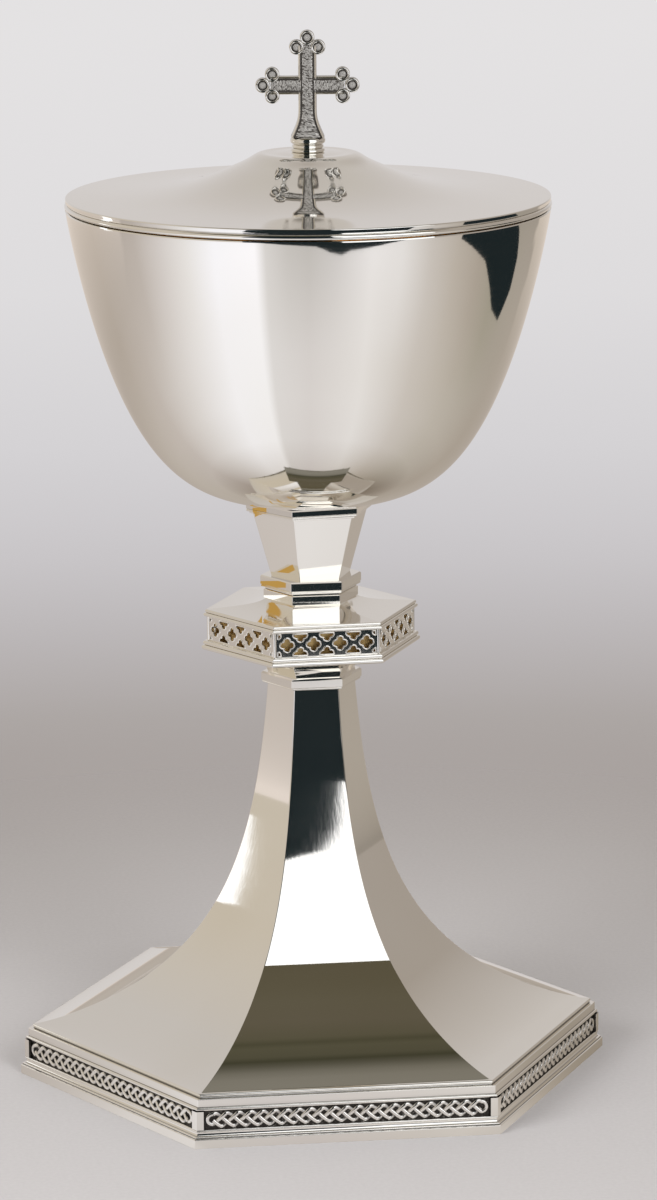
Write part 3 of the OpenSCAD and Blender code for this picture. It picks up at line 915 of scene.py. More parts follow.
def make_bowl():
    outer, inner = bowl_curve(0), bowl_curve(BOWL_T)
    lip = 0.35 * MM
    outer[0] = (outer[0][0], outer[0][1] - lip)
    inner[0] = (inner[0][0], inner[0][1] - lip)
    rim_z = high("bowl")
    middle = (outer[0][0] + inner[0][0]) / 2
    half = (outer[0][0] - inner[0][0]) / 2
    lips = [(middle + half * math.cos(a), rim_z - lip + lip * math.sin(a))
            for a in (math.pi * (i + 1) / 9 for i in range(8))]
    profile = list(reversed(outer)) + lips + inner
    obj = loft("bowl_fine", profile, ring_round, darken_hollows=False)
    gild_inside(obj, range((len(outer) + len(lips) - 2) * ROUND_COLUMNS, len(obj.data.polygons)))
    stand_in(obj, "bowl", "satin_silver")


def make_bowl_boss():
    r, z0, z1 = span("bowl_boss")
    profile = [(3 * MM, z0), (r, z0), (r, z1), (0, z1), (0, z1 - MM), (3 * MM, z1 - MM)]
    turned("bowl_boss", soften(profile, 0.3 * MM), "brass_fixings", 96)


# Fixings

def make_threaded(name, r, z0, z1, pitch, depth):
    """Rod with a helical thread and chamfered ends."""
    columns = 36
    rows = max(8, round((z1 - z0) / pitch * 8))
    verts, faces = [(0, 0, z0)], []
    for i in range(rows + 1):
        z = z0 + (z1 - z0) * i / rows
        chamfer = max(0.0, depth * 1.2 - min(z - z0, z1 - z))
        for c in range(columns):
            a = 2 * math.pi * c / columns
            phase = (z / pitch - c / columns) % 1
            dip = depth * abs(2 * phase - 1)
            d = r - max(dip, chamfer)
            verts.append((d * math.cos(a), d * math.sin(a), z))
    verts.append((0, 0, z1))
    last = len(verts) - 1
    for c in range(columns):
        d = (c + 1) % columns
        faces.append([0, 1 + d, 1 + c])
        faces.append([last, last - columns + c, last - columns + d])
        for i in range(rows):
            a, b = 1 + i * columns, 1 + (i + 1) * columns
            faces.append([a + c, a + d, b + d, b + c])
    return tidy_normals(finish_mesh(name, verts, faces), 50)


def ring_nut(r, columns_per_side=8):
    """Hexagon of corner radius r whose corners are cut to the ring's own radius."""
    def ring(limit):
        points = []
        count = SIDES * columns_per_side
        for i in range(count):
            a = 2 * math.pi * i / count
            off = (a - math.pi / SIDES) % (math.pi / 3)
            off = min(off, math.pi / 3 - off)
            d = min(limit, r * FLAT / math.cos(off))
            points.append((d * math.cos(a), d * math.sin(a), a, a))
        return points
    return ring


def make_nut(node, hole):
    r, z0, z1 = span(node)
    chamfer = 0.12 * r
    profile = [(hole, z0), (r * FLAT, z0), (r, z0 + chamfer), (r, z1 - chamfer), (r * FLAT, z1), (hole, z1)]
    obj = loft(node + "_fine", profile, ring_nut(r))
    tidy_normals(obj, 25)
    stand_in(obj, node, "brass_fixings")


def make_washer(node, hole):
    r, z0, z1 = span(node)
    profile = [(hole, z0), (r, z0), (r, z1), (hole, z1)]
    turned(node, soften(profile, 0.2 * MM), "brass_fixings", 72)


def make_fixings():
    for node, pitch, depth in (("tie_rod", MM, 0.35 * MM), ("finial_stud", 0.5 * MM, 0.2 * MM)):
        stand_in(make_threaded(node + "_fine", *span(node), pitch, depth), node, "brass_fixings")
    make_washer("rod_washer", ROD_HOLE)
    make_washer("finial_washer", 1.5 * MM)
    make_nut("rod_nut", 3 * MM)
    make_nut("finial_nut", 1.5 * MM)


# Cover

DOME_H = 11.2 * MM
DOME_R = 23 * MM
DOME_POWER = 3.4
DOME_FLAT_R = 5 * MM
COVER_T = MM
SHOULDER_H, SHOULDER_R, SHOULDER_W = 0.8 * MM, 12.2 * MM, 2.4 * MM


def dome_rise(r):
    shoulder = math.exp(-((r - SHOULDER_R) / SHOULDER_W) ** 2)
    return DOME_H / (1 + (r / DOME_R) ** DOME_POWER) + SHOULDER_H * shoulder


def make_cover_shell():
    r, z0, z1 = span("cover_shell")
    base_z = z1 - dome_rise(DOME_FLAT_R)
    hole = 1.5 * MM
    rings = 110
    radii = [DOME_FLAT_R + (r - DOME_FLAT_R) * i / rings for i in range(rings + 1)]
    top = [(x, base_z + dome_rise(x)) for x in radii]
    joint_r = reach("cover_bezel") - 2 * MM
    under = [(x, base_z - COVER_T + dome_rise(x)) for x in radii if x < joint_r - 2 * MM]
    edge_z = top[-1][1]
    roll = 0.3 * MM
    top[-1] = (r - roll, edge_z)
    edge = [(r - roll + roll * math.cos(a), edge_z - roll + roll * math.sin(a))
            for a in (math.pi / 2 * (1 - i / 5) for i in range(6))]
    profile = [(hole, z1 - COVER_T)] + under + [(joint_r, z0), (r - 0.1 * MM, z0)]
    profile += list(reversed(edge)) + list(reversed(top)) + [(hole, z1)]
    obj = loft("cover_shell_fine", profile, ring_round, darken_hollows=False)
    gild_inside(obj, range((len(under) + 1) * ROUND_COLUMNS))
    stand_in(obj, "cover_shell", "satin_silver")


def make_cover_rim():
    r, z0, z1 = span("cover_rim")
    inner = reach("cover_bezel") - MM
    bead_h = z1 - z0 - 0.35 * MM
    profile = [(inner, z0)] + half_round(r - bead_h / 2, z0, bead_h, 12)
    profile += [(r - 0.6 * MM, z1 - 0.3 * MM), (r - 0.6 * MM, z1), (inner, z1)]
    turned("cover_rim", profile, "polished_silver")


def make_cover_bezel():
    r, z0, z1 = span("cover_bezel")
    profile = [(r - MM, z0), (r, z0), (r, z1), (r - MM, z1)]
    turned("cover_bezel", soften(profile, 0.3 * MM), "gilding")


def make_finial_collar():
    r, z0, z1 = span("finial_collar")
    h = (z1 - z0) / 2
    profile = [(1.5 * MM, z0)] + half_round(r - h / 2, z0, h) + half_round(r - 0.3 * MM - h / 2, z0 + h, h)
    profile += [(1.5 * MM, z1)]
    turned("finial_collar", profile, "polished_silver", 96)


# Cross: built flat, x across, y up from the middle of the crossing, z towards the front

ARM_W = 4.5 * MM
CROSS_T = 2.6 * MM
CROSS_BASE_H = 1.9 * MM
CROSS_FLARE_H = 7 * MM
TREFOIL_R = 1.8 * MM
TREFOIL_SPREAD = 2.65 * MM
TREFOIL_BACK = 2.35 * MM
CROSS_BORDER = 0.62 * MM


class Relief:
    """Collects the cross's verts, faces and how dark each vert is."""

    def __init__(self):
        self.verts, self.faces, self.dark = [], [], []

    def add(self, verts, faces, dark):
        first = len(self.verts)
        self.verts += verts
        self.faces += [[first + i for i in face] for face in faces]
        self.dark += dark if isinstance(dark, list) else [dark] * len(verts)

    def strip(self, rows):
        """A closed tube through equal rows of ((x, y, z), dark)."""
        verts = [p for row in rows for p, _ in row]
        dark = [d for row in rows for _, d in row]
        m, faces = len(rows[0]), []
        for i in range(len(rows) - 1):
            for k in range(m):
                l = (k + 1) % m
                faces.append([i * m + k, i * m + l, (i + 1) * m + l, (i + 1) * m + k])
        faces.append(list(reversed(range(m))))
        faces.append([(len(rows) - 1) * m + k for k in range(m)])
        self.add(verts, faces, dark)


def arm_section(half_w, half_t, bordered=True):
    """Section of an arm as (across, front, dark): raised borders, a groove inside each and a
    stippled band that fills the middle."""
    bed = half_t - 0.45 * MM
    border = CROSS_BORDER
    rim = half_t if bordered else bed + 0.1 * MM
    line = 0.0 if bordered else 0.5
    groove = half_w - border - 0.2 * MM
    band = groove - 0.22 * MM
    # dark is 1 in the grooves inside the borders, painting tarnish and the shade that falls there; the
    # stippled band and the arm's sides are partly dark.
    right = [(half_w, 0, 0.35), (half_w, rim * 0.6, 0.3), (half_w - 0.05 * MM, rim - 0.27 * MM, line),
             (half_w - 0.16 * MM, rim - 0.09 * MM, line), (half_w - border / 2, rim, line),
             (half_w - border + 0.16 * MM, rim - 0.09 * MM, line),
             (half_w - border + 0.05 * MM, rim - 0.27 * MM, line), (half_w - border, bed, 1.0),
             (groove, bed - 0.05 * MM, 1.0), (band, bed + 0.2 * MM, 0.45)]
    middle = [(band * t, bed + 0.24 * MM, 0.4) for t in (0.75, 0.5, 0.25, 0, -0.25, -0.5, -0.75)]
    front = right + middle + [(-x, z, d) for x, z, d in reversed(right)]
    back = [(-x, -z, d) for x, z, d in front[1:-1]]
    return front + back


def stippled(points):
    """Small random rises on the stippled band."""
    out = []
    for x, z, d in points:
        if 0.35 < d < 0.55 and abs(z) > 0.3 * MM:
            lift = HAND.uniform(-0.07, 0.07) * MM
            z += math.copysign(1, z) * lift
            d = min(0.8, max(0, d - lift / (0.28 * MM)))
        out.append((x, z, d))
    return out


def cross_arms(relief, half_w, top, bottom, tip):
    """The upright arm, flared at its foot, and the two level arms. The borders stop where
    the arms cross."""
    base_z, base_r = bottom + CROSS_BASE_H, reach("finial_collar") - 0.1 * MM
    slim = CROSS_T / 2 - 0.2 * MM
    rows = []
    steps = 120
    for i in range(steps + 1):
        y = base_z + (top - base_z) * i / steps
        t = max(0.0, 1 - (y - base_z) / CROSS_FLARE_H)
        flare = slim + (base_r - slim) * t ** 1.1
        spread = (half_w ** 6 + flare ** 6) ** (1 / 6)
        depth = ((CROSS_T / 2) ** 6 + (flare * 0.86) ** 6) ** (1 / 6)
        crossing = abs(y) < half_w - CROSS_BORDER
        section = stippled(arm_section(spread, depth, not crossing))
        rows.append([((x, y, z), d) for x, z, d in section])
    relief.strip(rows)
    for side in (-1, 1):
        rows = []
        start = half_w - CROSS_BORDER
        for i in range(49):
            x = side * (start + (tip - start) * i / 48)
            section = stippled(arm_section(half_w, CROSS_T / 2 - 0.02 * MM))
            rows.append([((x, side * -a, z), d) for a, z, d in section])
        relief.strip(rows)


def cross_lobe(relief, cx, cy, r):
    """A thick raised ring round a sunk, stippled disc, on both faces of the cross."""
    half = CROSS_T / 2 + 0.08 * MM
    tube = 0.3 * MM
    inner = r - 2 * tube
    # The sunk groove inside the ring is painted fully dark, as tarnish and shade.
    outline = [(0, 0.62 * half, 0.3), (0.3 * r, 0.64 * half, 0.4), (inner - 0.3 * MM, 0.6 * half, 0.5),
               (inner - 0.1 * MM, 0.42 * half, 1.0), (inner, 0.45 * half, 1.0)]
    outline += [(r - tube - tube * math.cos(a), half - tube + tube * math.sin(a), 0.0)
                for a in (math.pi * i / 8 for i in range(9))]
    outline += [(r, 0.3 * half, 0.45)]
    outline += [(x, -z, d) for x, z, d in reversed(outline)]
    columns = 40
    verts, dark, faces = [], [], []
    for x, z, d in outline:
        for c in range(columns):
            a = 2 * math.pi * c / columns
            lift = HAND.uniform(-0.05, 0.05) * MM if 0 < x < 0.5 * r else 0
            d_out = max(x, 1e-5)
            verts.append((cx + d_out * math.cos(a), cy + d_out * math.sin(a), z + math.copysign(lift, z)))
            dark.append(d)
    for i in range(len(outline) - 1):
        for c in range(columns):
            d = (c + 1) % columns
            faces.append([i * columns + c, i * columns + d, (i + 1) * columns + d, (i + 1) * columns + c])
    faces.append(list(range(columns)))
    faces.append([(len(outline) - 1) * columns + c for c in reversed(range(columns))])
    relief.add(verts, faces, dark)


def make_cross():
    lo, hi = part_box("cross")
    half_w = ARM_W / 2
    top = 13.5 * MM
    bottom = top - (hi.z - lo.z)
    tip = (hi.x - lo.x) / 2 / math.cos(COVER_TURN)
    relief = Relief()
    lobes = TREFOIL_R + TREFOIL_BACK - 0.4 * MM
    cross_arms(relief, half_w, top - lobes, bottom, tip - lobes)
    for arm, length in ((0, tip), (90, top), (180, tip)):
        turn = Matrix.Rotation(math.radians(arm), 2)
        side_x = length - TREFOIL_R - TREFOIL_BACK
        for x, y in ((side_x, TREFOIL_SPREAD), (side_x, -TREFOIL_SPREAD), (length - TREFOIL_R, 0)):
            p = turn @ Vector((x, y))
            cross_lobe(relief, p.x, p.y, TREFOIL_R)
    obj = finish_mesh("cross_fine", relief.verts, relief.faces)
    set_tarnish_and_shade(obj, relief.dark)
    tidy_normals(obj, 45)
    obj.data.transform(Matrix.Rotation(math.pi / 2, 4, "X"))
    obj.data.transform(Matrix.Translation((0, 0, hi.z - top)))
    join(obj, make_cross_base(lo.z))
    obj.data.transform(Matrix.Rotation(COVER_TURN, 4, "Z"))
    stand_in(obj, "cross", "polished_silver", "cross")


def make_cross_base(z0):
    """Round block with rounded edges that carries the cross."""
    r = reach("finial_collar")
    h = CROSS_BASE_H
    bulge = half_round(r - h * 0.42, z0, h)
    crown = [((r - h * 0.42) * math.cos(a), z0 + h + 0.7 * MM * math.sin(a))
             for a in (math.pi / 2 * i / 8 for i in range(1, 8))]
    profile = [(0, z0)] + bulge + crown + [(0, z0 + h + 0.7 * MM)]
    return loft("cross_base", profile, lambda r: ring_round(r, 64))


def join(obj, other):
    """Moves other's mesh into obj."""
    bm = bmesh.new()
    bm.from_mesh(obj.data)
    bm.from_mesh(other.data)
    bm.to_mesh(obj.data)
    bm.free()
    mesh = other.data
    bpy.data.objects.remove(other)
    bpy.data.meshes.remove(mesh)


# Studio: floor, lights, and the cards that only the silver sees

def emission(name, colour, strength=1.0):
    mat = bpy.data.materials.new(name)
    mat.use_nodes = True
    tree = mat.node_tree
    tree.nodes.clear()
    glow = tree.nodes.new("ShaderNodeEmission")
    glow.inputs["Color"].default_value = (*colour, 1)
    glow.inputs["Strength"].default_value = strength
    out = tree.nodes.new("ShaderNodeOutputMaterial")
    link(tree, glow.outputs[0], out.inputs["Surface"])
    return mat


def only_in_silver(obj):
    obj.visible_camera = False
    obj.visible_diffuse = False
    obj.visible_shadow = False
    obj.visible_transmission = False


def card(name, verts, faces, mat):
    """A stage card that shows in reflections and nowhere else."""
    obj = finish_mesh(name, verts, faces)
    obj.data.materials.append(mat)
    only_in_silver(obj)
    return obj


VIEW_TURN = math.radians(-7.3)            # the photograph's camera stands this far from -Y


def to_view(obj):
    """Turns something laid out for a camera on -Y to the photograph's camera."""
    obj.matrix_world = Matrix.Rotation(VIEW_TURN, 4, "Z") @ obj.matrix_world
    return obj


def sky_card(name, left, right, low_e, high_e, mat, distance=1.5, steps=12):
    """Part of a dome round the object, from azimuth left to right, 0 being towards the camera
    and 90 to the right of it."""
    verts, faces = [], []
    for i in range(steps + 1):
        e = math.radians(low_e + (high_e - low_e) * i / steps)
        for j in range(steps + 1):
            a = math.radians(left + (right - left) * j / steps)
            verts.append((distance * math.sin(a) * math.cos(e), -distance * math.cos(a) * math.cos(e),
                          distance * math.sin(e)))
    for i in range(steps):
        for j in range(steps):
            a = i * (steps + 1) + j
            faces.append([a, a + 1, a + steps + 2, a + steps + 1])
    return to_view(card(name, verts, faces, mat))


def disc_mesh(name, radius, columns=96, rings=16):
    verts, faces = [(0, 0, 0)], []
    for i in range(rings):
        for c in range(columns):
            a = 2 * math.pi * c / columns
            r = radius * (i + 1) / rings
            verts.append((r * math.cos(a), r * math.sin(a), 0))
    for c in range(columns):
        d = (c + 1) % columns
        faces.append([0, 1 + c, 1 + d])
        for i in range(rings - 1):
            a, b = 1 + i * columns, 1 + (i + 1) * columns
            faces.append([a + c, b + c, b + d, a + d])
    return finish_mesh(name, verts, faces)


def see_through(tree, gone, surface):
    """Makes a material clear where gone is 1."""
    clear = tree.nodes.new("ShaderNodeBsdfTransparent")
    mix = tree.nodes.new("ShaderNodeMixShader")
    link(tree, gone, mix.inputs["Fac"])
    link(tree, surface, mix.inputs[1])
    link(tree, clear.outputs[0], mix.inputs[2])
    link(tree, mix.outputs[0], tree.nodes["Material Output"].inputs["Surface"])


def show_from_above(tree):
    """Makes an emitter clear where it is seen from behind."""
    geometry = tree.nodes.new("ShaderNodeNewGeometry")
    see_through(tree, geometry.outputs["Backfacing"], tree.nodes["Emission"].outputs[0])


def make_floor():
    """Plain pale disc that fades out at its edge, and isn't there from below."""
    obj = disc_mesh("floor", 0.6)
    mat = bpy.data.materials.new("pale_floor")
    mat.use_nodes = True
    tree = mat.node_tree
    shader = tree.nodes["Principled BSDF"]
    shader.inputs["Roughness"].default_value = 0.8
    shader.inputs["Specular IOR Level"].default_value = 0.1
    fibre = noise(tree, stretched(tree, (1, 1, 1)), 900, 4)
    tint = blend(tree, remap(tree, fibre, 0, 1), (0.58, 0.575, 0.59), (0.55, 0.545, 0.56))
    link(tree, tint, shader.inputs["Base Color"])
    bumps(tree, shader, [(fibre, 2e-5)])
    coords = tree.nodes.new("ShaderNodeTexCoord")
    length = tree.nodes.new("ShaderNodeVectorMath")
    length.operation = "LENGTH"
    link(tree, coords.outputs["Object"], length.inputs[0])
    fade = remap(tree, length.outputs["Value"], 0, 1, 0.12, 0.4)
    geometry = tree.nodes.new("ShaderNodeNewGeometry")
    gone = add(tree, fade, geometry.outputs["Backfacing"], "MAXIMUM")
    see_through(tree, gone, shader.outputs[0])
    obj.data.materials.append(mat)
    obj.visible_glossy = False


# Light off the table that the silver sees, by azimuth: far out, and near the vessel
FAR_LIGHT = (
    (-180, (0.46, 0.405, 0.36)), (-125, (0.46, 0.405, 0.36)), (-90, (0.53, 0.48, 0.45)),
    (-75, (0.67, 0.63, 0.62)), (-60, (0.82, 0.8, 0.8)), (-45, (0.98, 0.98, 1.04)), (-24, (1.02, 1.01, 1.06)),
    (-21, (0.72, 0.7, 0.7)), (-10, (0.6, 0.58, 0.57)), (0, (0.56, 0.54, 0.53)), (12, (0.64, 0.62, 0.62)),
    (30, (0.84, 0.82, 0.83)), (45, (0.79, 0.77, 0.77)), (60, (0.6, 0.56, 0.53)), (75, (0.5, 0.45, 0.4)),
    (90, (0.42, 0.37, 0.32)), (105, (0.36, 0.33, 0.27)), (120, (0.39, 0.35, 0.3)), (140, (0.42, 0.37, 0.32)),
    (180, (0.46, 0.405, 0.36)))
NEAR_LIGHT = (
    (-180, (0.44, 0.39, 0.34)), (-150, (0.49, 0.44, 0.39)), (-105, (0.56, 0.51, 0.48)),
    (-75, (0.73, 0.7, 0.69)), (-45, (0.92, 0.91, 0.94)), (-25, (0.92, 0.91, 0.93)), (-20, (0.74, 0.72, 0.72)),
    (0, (0.71, 0.68, 0.68)), (30, (0.8, 0.78, 0.78)), (60, (0.61, 0.57, 0.54)), (90, (0.51, 0.47, 0.42)),
    (135, (0.41, 0.36, 0.31)), (180, (0.44, 0.39, 0.34)))

# How much of it is left close round the vessel
CONTACT = (
    (-180, (0.6, 0.56, 0.52)), (-105, (0.64, 0.6, 0.56)), (-50, (0.75, 0.72, 0.68)), (0, (0.8, 0.77, 0.74)),
    (60, (0.7, 0.66, 0.6)), (120, (0.46, 0.42, 0.37)), (180, (0.6, 0.56, 0.52)))


def between(stops, azimuth):
    for (a, low_colour), (b, high_colour) in zip(stops, stops[1:]):
        if azimuth <= b:
            t = (azimuth - a) / (b - a)
            return [p + (q - p) * t for p, q in zip(low_colour, high_colour)]


def table_light(azimuth, r):
    far = min(1.0, max(0.0, (r - 0.24) / 0.2))
    behind = azimuth < -100 or azimuth > 140
    beyond = 1 + (0.55 if behind else -0.25) * min(1.0, max(0.0, (r - 0.5) / 0.75))
    near_colour, far_colour = between(NEAR_LIGHT, azimuth), between(FAR_LIGHT, azimuth)
    under = 1 - min(1.0, max(0.0, (r - 0.116) / 0.02))
    shadow = [1 + (c - 1) * under for c in between(CONTACT, azimuth)]
    return [(p + (q - p) * far) * beyond * c for p, q, c in zip(near_colour, far_colour, shadow)]


def shaded_glow(name):
    """Emitter that takes its colour from the mesh's shade attribute."""
    mat = emission(name, (1, 1, 1))
    tree = mat.node_tree
    link(tree, attribute(tree, "shade", "Color"), tree.nodes["Emission"].inputs["Color"])
    return mat


def set_shades(obj, colours):
    shade = obj.data.attributes.new("shade", "FLOAT_COLOR", "POINT")
    for point, colour in zip(shade.data, colours):
        point.color = (*colour, 1)


def make_table_light():
    obj = disc_mesh("table_light", 1.6, 144, 24)
    set_shades(obj, [table_light(math.degrees(math.atan2(v.co.x, -v.co.y)), math.hypot(v.co.x, v.co.y))
                     for v in obj.data.vertices])
    mat = shaded_glow("table_glow")
    show_from_above(mat.node_tree)
    obj.data.materials.append(mat)
    only_in_silver(obj)
    to_view(obj)


def ramp(tree, value, stops):
    """Colour ramp from (position, colour) stops."""
    node = tree.nodes.new("ShaderNodeValToRGB")
    line = node.color_ramp
    line.elements[0].position, line.elements[0].color = stops[0][0], (*stops[0][1], 1)
    line.elements[1].position, line.elements[1].color = stops[-1][0], (*stops[-1][1], 1)
    for position, colour in stops[1:-1]:
        line.elements.new(position).color = (*colour, 1)
    link(tree, value, node.inputs["Fac"])
    return node.outputs["Color"]


def height_stop(elevation):
    """Place on a ramp of a direction's height, which runs from -1 to 1."""
    return 0.5 + math.sin(math.radians(elevation)) / 2


def make_world():
    """Soft studio surround: pale behind, warm grey at the sides, dim overhead. The camera sees a pale
    backdrop with a dark band of painted shade low down, standing for the shade on the table behind the
    vessel."""
    world = bpy.data.worlds.new("studio")
    world.use_nodes = True
    bpy.context.scene.world = world
    tree = world.node_tree
    tree.nodes.clear()
    coords = tree.nodes.new("ShaderNodeTexCoord")
    split = tree.nodes.new("ShaderNodeSeparateXYZ")
    link(tree, coords.outputs["Generated"], split.inputs[0])
    height = remap(tree, split.outputs["Z"], 0, 1, -1, 1)
    around = ramp(tree, height, [(height_stop(e), colour) for e, colour in (
        (-90, (0.5, 0.48, 0.46)), (-20, (0.69, 0.66, 0.65)), (5, (0.66, 0.63, 0.62)),
        (20, (0.6, 0.565, 0.545)), (32, (0.57, 0.535, 0.51)), (45, (0.55, 0.515, 0.48)),
        (58, (0.52, 0.485, 0.45)), (70, (0.46, 0.42, 0.385)), (80, (0.3, 0.265, 0.225)),
        (90, (0.12, 0.105, 0.075)))])
    sideways = split.outputs["X"]
    left = blend(tree, remap(tree, sideways, 1, 0, -0.85, -0.35), around, (0.575, 0.514, 0.428))
    right = blend(tree, remap(tree, sideways, 0, 1, 0.35, 0.7), left, (0.377, 0.334, 0.295))
    # Painted shade: the dark band from about -17 to -14 degrees stands for the shade on the table just behind
    # the vessel.
    backdrop_with_painted_shade = ramp(tree, height, [(height_stop(e), colour) for e, colour in (
        (-90, (0.56, 0.54, 0.55)), (-18.5, (0.52, 0.495, 0.5)), (-17.2, (0.42, 0.39, 0.375)),
        (-16.2, (0.355, 0.318, 0.295)), (-15.2, (0.345, 0.308, 0.29)), (-14.2, (0.4, 0.367, 0.352)),
        (-13, (0.5, 0.475, 0.48)), (-12, (0.59, 0.57, 0.585)), (-10.8, (0.66, 0.645, 0.66)),
        (-9, (0.73, 0.715, 0.725)), (-6, (0.775, 0.76, 0.765)), (90, (0.79, 0.78, 0.785)))])
    path = tree.nodes.new("ShaderNodeLightPath")
    seen = blend(tree, path.outputs["Is Camera Ray"], right, backdrop_with_painted_shade)
    background = tree.nodes.new("ShaderNodeBackground")
    out = tree.nodes.new("ShaderNodeOutputWorld")
    link(tree, seen, background.inputs["Color"])
    link(tree, background.outputs[0], out.inputs["Surface"])


def flat_card(name, outline, place, mat):
    """A card from its outline, with place giving the point for each (u, v) of it."""
    verts = [place(u, v) for u, v in outline]
    return card(name, verts, [list(range(len(verts)))], mat)


# Painted reflection on the foot's front: dim olive bands of a card close in front of it that only the silver
# sees, from its stem outwards: place, height and colour
PAINTED_FOOT_REFLECTION = (
    (31.5, 40.5, (0.1, 0.085, 0.053)), (34, 37, (0.105, 0.09, 0.057)), (36, 34.5, (0.112, 0.097, 0.064)),
    (39, 31, (0.112, 0.096, 0.065)), (42, 28.2, (0.096, 0.085, 0.054)), (43, 27.3, (0.07, 0.064, 0.038)),
    (44, 26.4, (0.088, 0.08, 0.05)), (46, 24.8, (0.08, 0.073, 0.046)), (47.2, 23.8, (0.052, 0.049, 0.029)),
    (48.5, 22.9, (0.09, 0.083, 0.06)), (50.3, 21.7, (0.16, 0.148, 0.118)), (52, 20.7, (0.2, 0.185, 0.152)),
    (56, 18.2, (0.22, 0.205, 0.17)), (62, 16, (0.22, 0.205, 0.17)))


def make_painted_foot_reflection():
    verts, faces, shades = [], [], []
    for out, z, colour in PAINTED_FOOT_REFLECTION:
        for x in (-0.577 * out - 7, 0.577 * out + 9):
            verts.append((x * MM, -out * MM, z * MM))
            shades.append(colour)
    for i in range(len(PAINTED_FOOT_REFLECTION) - 1):
        faces.append([2 * i, 2 * i + 1, 2 * i + 3, 2 * i + 2])
    # A glowing card, seen only in the silver, paints the dim olive reflection on the foot's front.
    obj = card("painted_foot_reflection_card", verts, faces, shaded_glow("painted_olive_reflection"))
    set_shades(obj, shades)


def make_cards():
    """White tent wall at the front right, dim ceiling, and the dark room beyond the table."""
    white = emission("tent_white", (1.25, 1.25, 1.26))
    olive = emission("ceiling_olive", (0.105, 0.093, 0.06))
    dark = emission("room_dark", (0.012, 0.018, 0.02))
    wall_y = -0.7
    edge = [(0.095, 0.1), (0.094, 0.127), (0.094, 0.17), (0.092, 0.2), (0.089, 0.233), (0.085, 0.241),
            (0.078, 0.252), (0.068, 0.275), (0.055, 0.32), (0.05, 0.425), (0.05, 0.577),
            (0.055, 0.772), (0.06, 0.94), (0.07, 1.085), (0.1, 1.21), (0.15, 1.25), (0.18, 1.275),
            (0.195, 1.262), (0.212, 1.24), (0.9, 1.2), (0.9, 0.1)]
    flat_card("tent_wall", list(reversed(edge)), lambda u, v: (u, wall_y, v), white)
    sky_card("room_front", -30, 60, -14, 68, dark, 1.55)
    ceiling = [(-1.3, -1.02), (1.3, -1.02), (1.3, 0.15), (-1.3, 0.15)]
    flat_card("ceiling", ceiling, lambda u, v: (u, v, 1.8), olive)
    make_painted_foot_reflection()
    strip = [(0.183, 0.065), (0.182, 0.08), (0.1815, 0.102), (0.185, 0.131), (0.191, 0.158), (0.203, 0.197),
             (0.212, 0.205), (0.26, 0.205), (0.26, 0.06)]
    flat_card("side_strip", strip, lambda u, v: (-0.5, u, v), white)
    # Painted reflection: two small amber cards beside the stem, seen only in the silver and only from the
    # front, put a gilt glow on the faces next to them.
    amber = emission("painted_gilt_reflection", (0.5, 0.3, 0.08))
    show_from_above(amber.node_tree)
    for x, y, z, half in ((-0.0151, -0.0041, 0.1446, 0.0014), (-0.0142, -0.0027, 0.1254, 0.0009)):
        across = Vector((0.39, 0.92, 0)) * 0.0034
        ends = [Vector((x, y, z)) - across, Vector((x, y, z)) + across]
        verts = [ends[0] + Vector((0, 0, -half)), ends[1] + Vector((0, 0, -half)),
                 ends[1] + Vector((0, 0, half)), ends[0] + Vector((0, 0, half))]
        card("painted_gilt_reflection", verts, [[0, 1, 2, 3]], amber)
    lift = 0.002
    front = [(-0.3, -0.51), (-0.05, -0.51), (0.03, -0.5), (0.08, -0.46), (0.12, -0.44), (0.16, -0.45),
             (0.42, -0.4), (0.9, -0.6), (0.9, -1.55), (-0.5, -1.55)]
    to_view(flat_card("table_edge", front, lambda u, v: (u, v, lift), dark))
    side = [(0.56, -0.14), (0.53, 0.04), (0.48, 0.1), (0.44, 0.14), (0.42, 0.21), (0.48, 0.3),
            (0.55, 0.345), (0.69, 0.36), (1.5, 0.4), (1.5, -0.3)]
    to_view(flat_card("table_side", side, lambda u, v: (u, v, lift), dark))


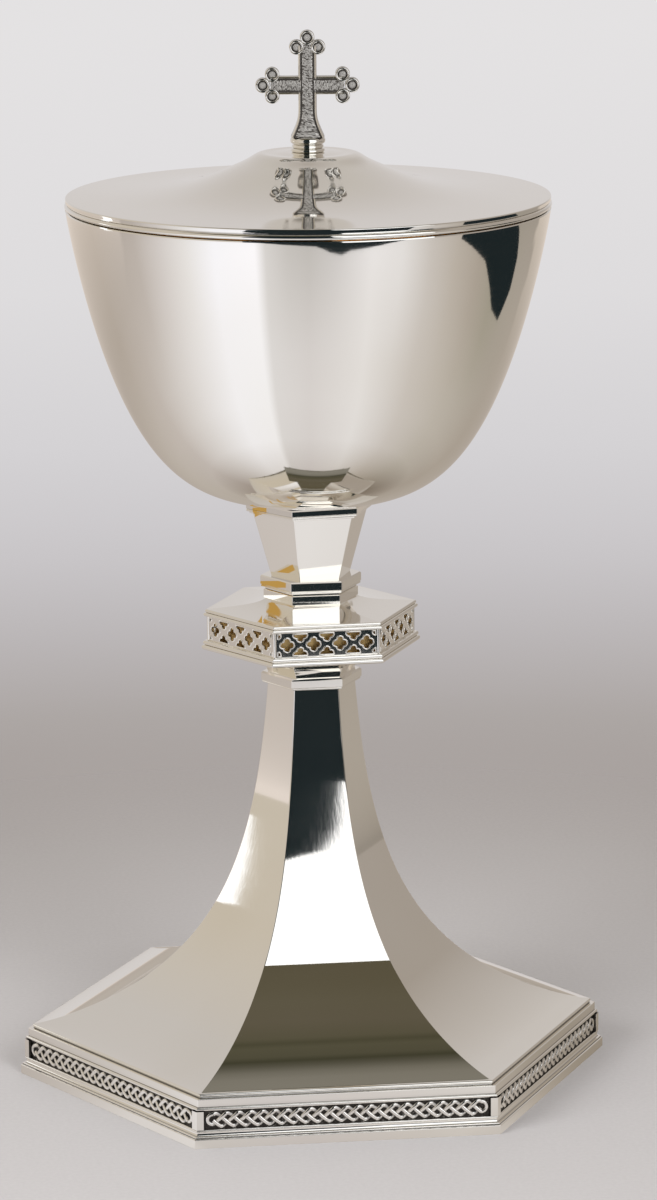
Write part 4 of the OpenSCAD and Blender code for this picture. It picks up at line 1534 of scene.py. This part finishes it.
def area_light(name, azimuth, distance, height, size_x, size_y, power, colour, aim_z=0.05):
    data = bpy.data.lights.new(name, "AREA")
    data.shape = "RECTANGLE"
    data.size, data.size_y = size_x, size_y
    data.energy = power
    data.color = colour
    obj = new_object(name, data)
    a = math.radians(azimuth) + VIEW_TURN
    obj.location = (distance * math.sin(a), -distance * math.cos(a), height)
    aim = Vector((0, 0, aim_z)) - obj.location
    obj.rotation_euler = aim.to_track_quat("-Z", "Y").to_euler()
    obj.visible_camera = False
    obj.visible_glossy = False


def make_lights():
    area_light("key_left", -45, 0.95, 0.42, 0.55, 0.7, 9, (1, 0.99, 0.985))
    area_light("key_right", 30, 0.95, 0.5, 0.45, 0.6, 6, (1, 0.99, 0.985))


CAMERA_AT = (-0.1488, -1.1657, 0.385)
CAMERA_ANGLES = (-7.49, 77.338, -0.346)   # heading, pitch from straight down, roll
LENS = 143.58


def make_camera():
    data = bpy.data.cameras.new("camera")
    data.sensor_width = 36
    data.lens = LENS
    data.clip_start, data.clip_end = 0.05, 50
    obj = new_object("camera", data)
    heading, pitch, roll = (math.radians(a) for a in CAMERA_ANGLES)
    turn = Matrix.Rotation(heading, 4, "Z") @ Matrix.Rotation(pitch, 4, "X") @ Matrix.Rotation(roll, 4, "Z")
    obj.matrix_world = Matrix.Translation(CAMERA_AT) @ turn
    bpy.context.scene.camera = obj


def make_vessel():
    make_plinth()
    make_lower_moulding()
    make_frieze_wall()
    for index in range(1, SIDES + 1):
        make_plait_panel(index)
    make_upper_moulding()
    make_foot()
    make_stem_collar()
    make_knop_base()
    make_knop_plate("knop_lower_plate")
    make_knop_band()
    make_knop_lining()
    make_knop_plate("knop_upper_plate")
    make_knop_cap()
    make_knop_collar()
    make_neck()
    make_bowl_collar()
    make_bowl_boss()
    make_bowl()


def make_cover():
    make_cover_shell()
    make_cover_rim()
    make_cover_bezel()
    make_finial_collar()
    make_cross()


make_camera()
bpy.context.scene.view_settings.view_transform = "Standard"
make_world()
make_floor()
make_table_light()
make_cards()
make_lights()
make_vessel()
make_cover()
make_fixings()
